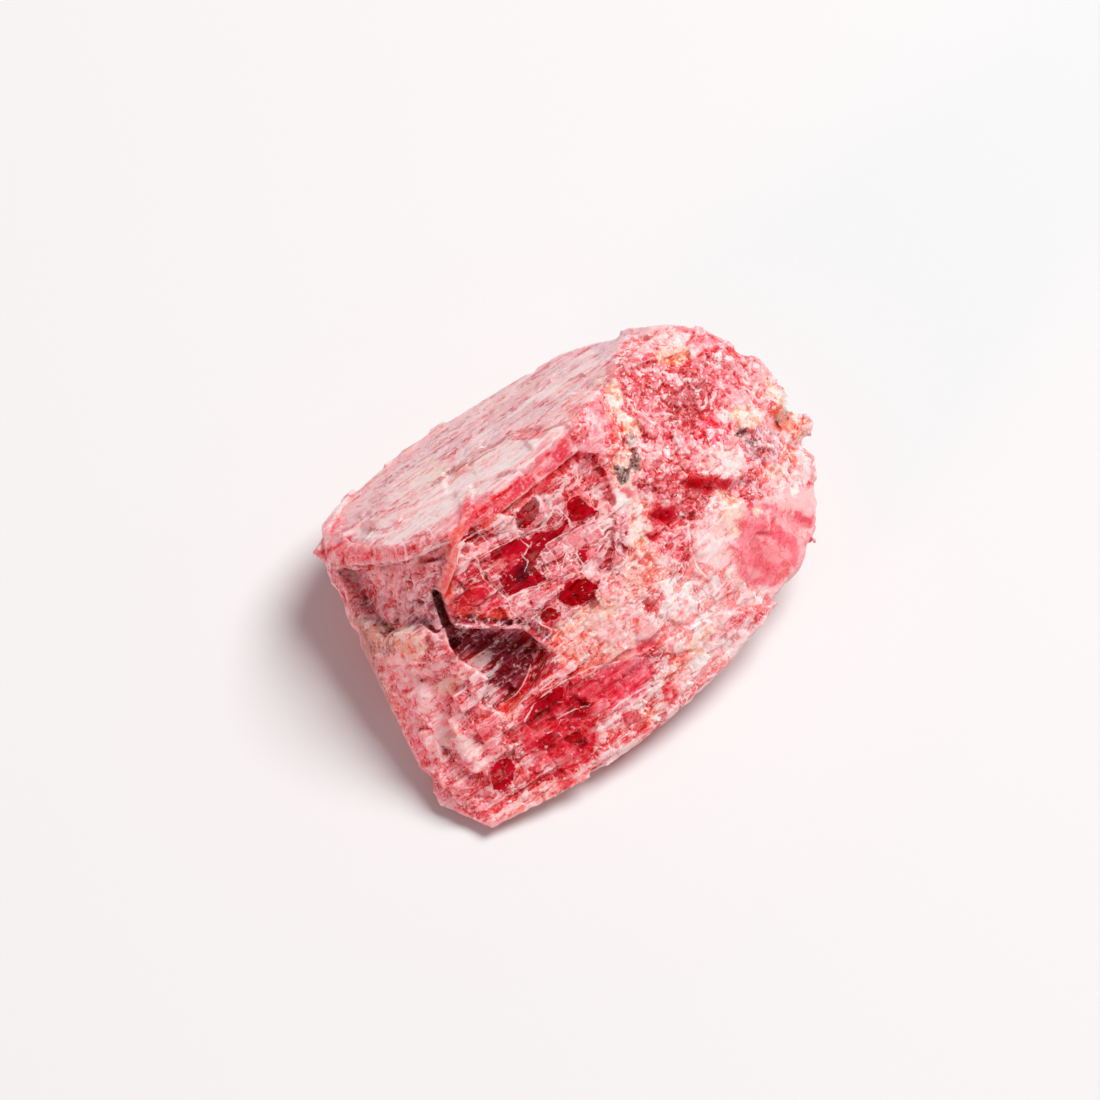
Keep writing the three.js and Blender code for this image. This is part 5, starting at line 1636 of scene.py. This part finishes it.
# Red is kept up where the tint is made deeper, so painted shade in pits turns deep red, not grey.
least_red = rhodonite.vector("MULTIPLY", tint_here, (LEAST_RED, 0.0, 0.0))
deep_tint = rhodonite.blend(1.0, deep_tint, least_red, "LIGHTEN")
pane_depth = 0.65 + mottle.between(0.3, 0.7) * 0.6 + chip * 0.4 + (streak - 0.5) * 1.2
pane_depth = pane_depth.math("MAXIMUM", LEAST_DEPTH)
deep_pane = rhodonite.node("ShaderNodeGamma", {}, {"Color": pane_tint_here, "Gamma": pane_depth})
red_stone = rhodonite.blend(clear.math("MAXIMUM", halo), deep_tint, deep_pane)

# Tiny white specks in the colour are painted glints, for the lamp caught on small grains.
painted_glint = crumb.between(0.84, 0.88) * crumb_gap.between(0.08, 0.25)
# Crests whiten the stone: partly crushed stone, partly a painted highlight.
frost_and_glint = white * (0.95 - glassy_here * 0.45) + crest_crush_and_highlight_here * 0.35
frost_and_glint = frost_and_glint + milky_here * 0.35 * grit.between(0.4, 0.65)
frost_and_glint = frost_and_glint * (1 - pit_shade_here * 0.6)
frost_and_glint = frost_and_glint + painted_glint * (sugary_here * 0.9 + netted_here * 0.4 + streaked_here * 0.3)
# Rarer white specks, also inside the windows: painted glints.
painted_window_glint = crumb.between(0.93, 0.95) * crumb_gap.between(0.12, 0.3)
veil_and_glint = texture.between(0.2, 0.9) * 0.16 + painted_window_glint * 0.5
frost_and_glint = frost_and_glint * (1 - halo) * (1 - clear) + veil_and_glint * clear
frost_and_glint = frost_and_glint + lines * (1 - clear) + seam * 0.8 + pane_rim * 0.2
frost_and_glint_limit = frost_and_glint.math("MINIMUM", MOST_FROST)
pale_tint = rhodonite.blend(0.75, tint_here, colour("snow"))
stone_colour = rhodonite.blend(frost_and_glint_limit, red_stone, pale_tint)
# Dark red strokes; on the flakes they are painted shade along lifted flake edges.
stone_colour = rhodonite.blend(stroke * 0.6, stone_colour, colour("glass"))
rhodonite.feed(rhodonite.shader.inputs["Base Color"], stone_colour)
print("nodes so far:", len(rhodonite.tree.nodes))

# %% Gloss, facets and depth of light
BUMP_STRENGTH = 0.6
BUMP_HEIGHT = 0.12 * MM
REFRACTION = 1.73
SHINE = 0.04
GLINT_ROUGHNESS = 0.12
GLOW = 0.7
GLOW_REACH = (1.0, 0.1, 0.08)
GLOW_DEPTH = 0.7 * MM

facet_tilt = rhodonite.cells(squat, 3.4, output=1)
facet_away = rhodonite.vector("SUBTRACT", squat, facet_tilt.also(2))
facet_lean = rhodonite.vector("SUBTRACT", facet_tilt, HALF)
facet_height = rhodonite.vector("DOT_PRODUCT", facet_away, facet_lean, output=1)
fine_height = facet_height * 1.6 + grit * 0.2 + streak_fine * 0.25 * streaked_here
fine_shape = {"Strength": BUMP_STRENGTH, "Distance": BUMP_HEIGHT, "Height": fine_height}
bump = rhodonite.node("ShaderNodeBump", {}, fine_shape)
rhodonite.feed(rhodonite.shader.inputs["Normal"], bump)
gloss = 0.42 + grit * 0.12 - clear * 0.26 + frost_and_glint_limit * 0.12
rhodonite.feed(rhodonite.shader.inputs["Roughness"], gloss)
glint = rhodonite.node("ShaderNodeSeparateColor", {}, {"Color": facet_tilt}, output=2)
rhodonite.feed(rhodonite.shader.inputs["Coat Weight"], glint.between(0.8, 0.86) * (1 - clear * 0.8) * 0.7)
SAME_ALL_OVER = {
    "IOR": REFRACTION, "Specular IOR Level": SHINE, "Coat Roughness": GLINT_ROUGHNESS,
    "Subsurface Weight": GLOW, "Subsurface Radius": GLOW_REACH, "Subsurface Scale": GLOW_DEPTH,
}
for name, value in SAME_ALL_OVER.items():
    rhodonite.shader.inputs[name].default_value = value
stone.data.materials.append(rhodonite.material)
print("nodes in all:", len(rhodonite.tree.nodes))

# %% [markdown]
# ## Hand over
#
# The skin is smooth where its triangles meet at a slight angle and crisp at the edges of blocks. The
# dressed stone then takes the place of the imported solid.

# %% Finish the piece
CRISP_ANGLE = math.radians(32)

bpy.ops.object.select_all(action="DESELECT")
stone.select_set(True)
bpy.context.view_layer.objects.active = stone
bpy.ops.object.shade_smooth_by_angle(angle=CRISP_ANGLE)
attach(stone, "root")
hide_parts(NODE)
print("finished:", stone.name)
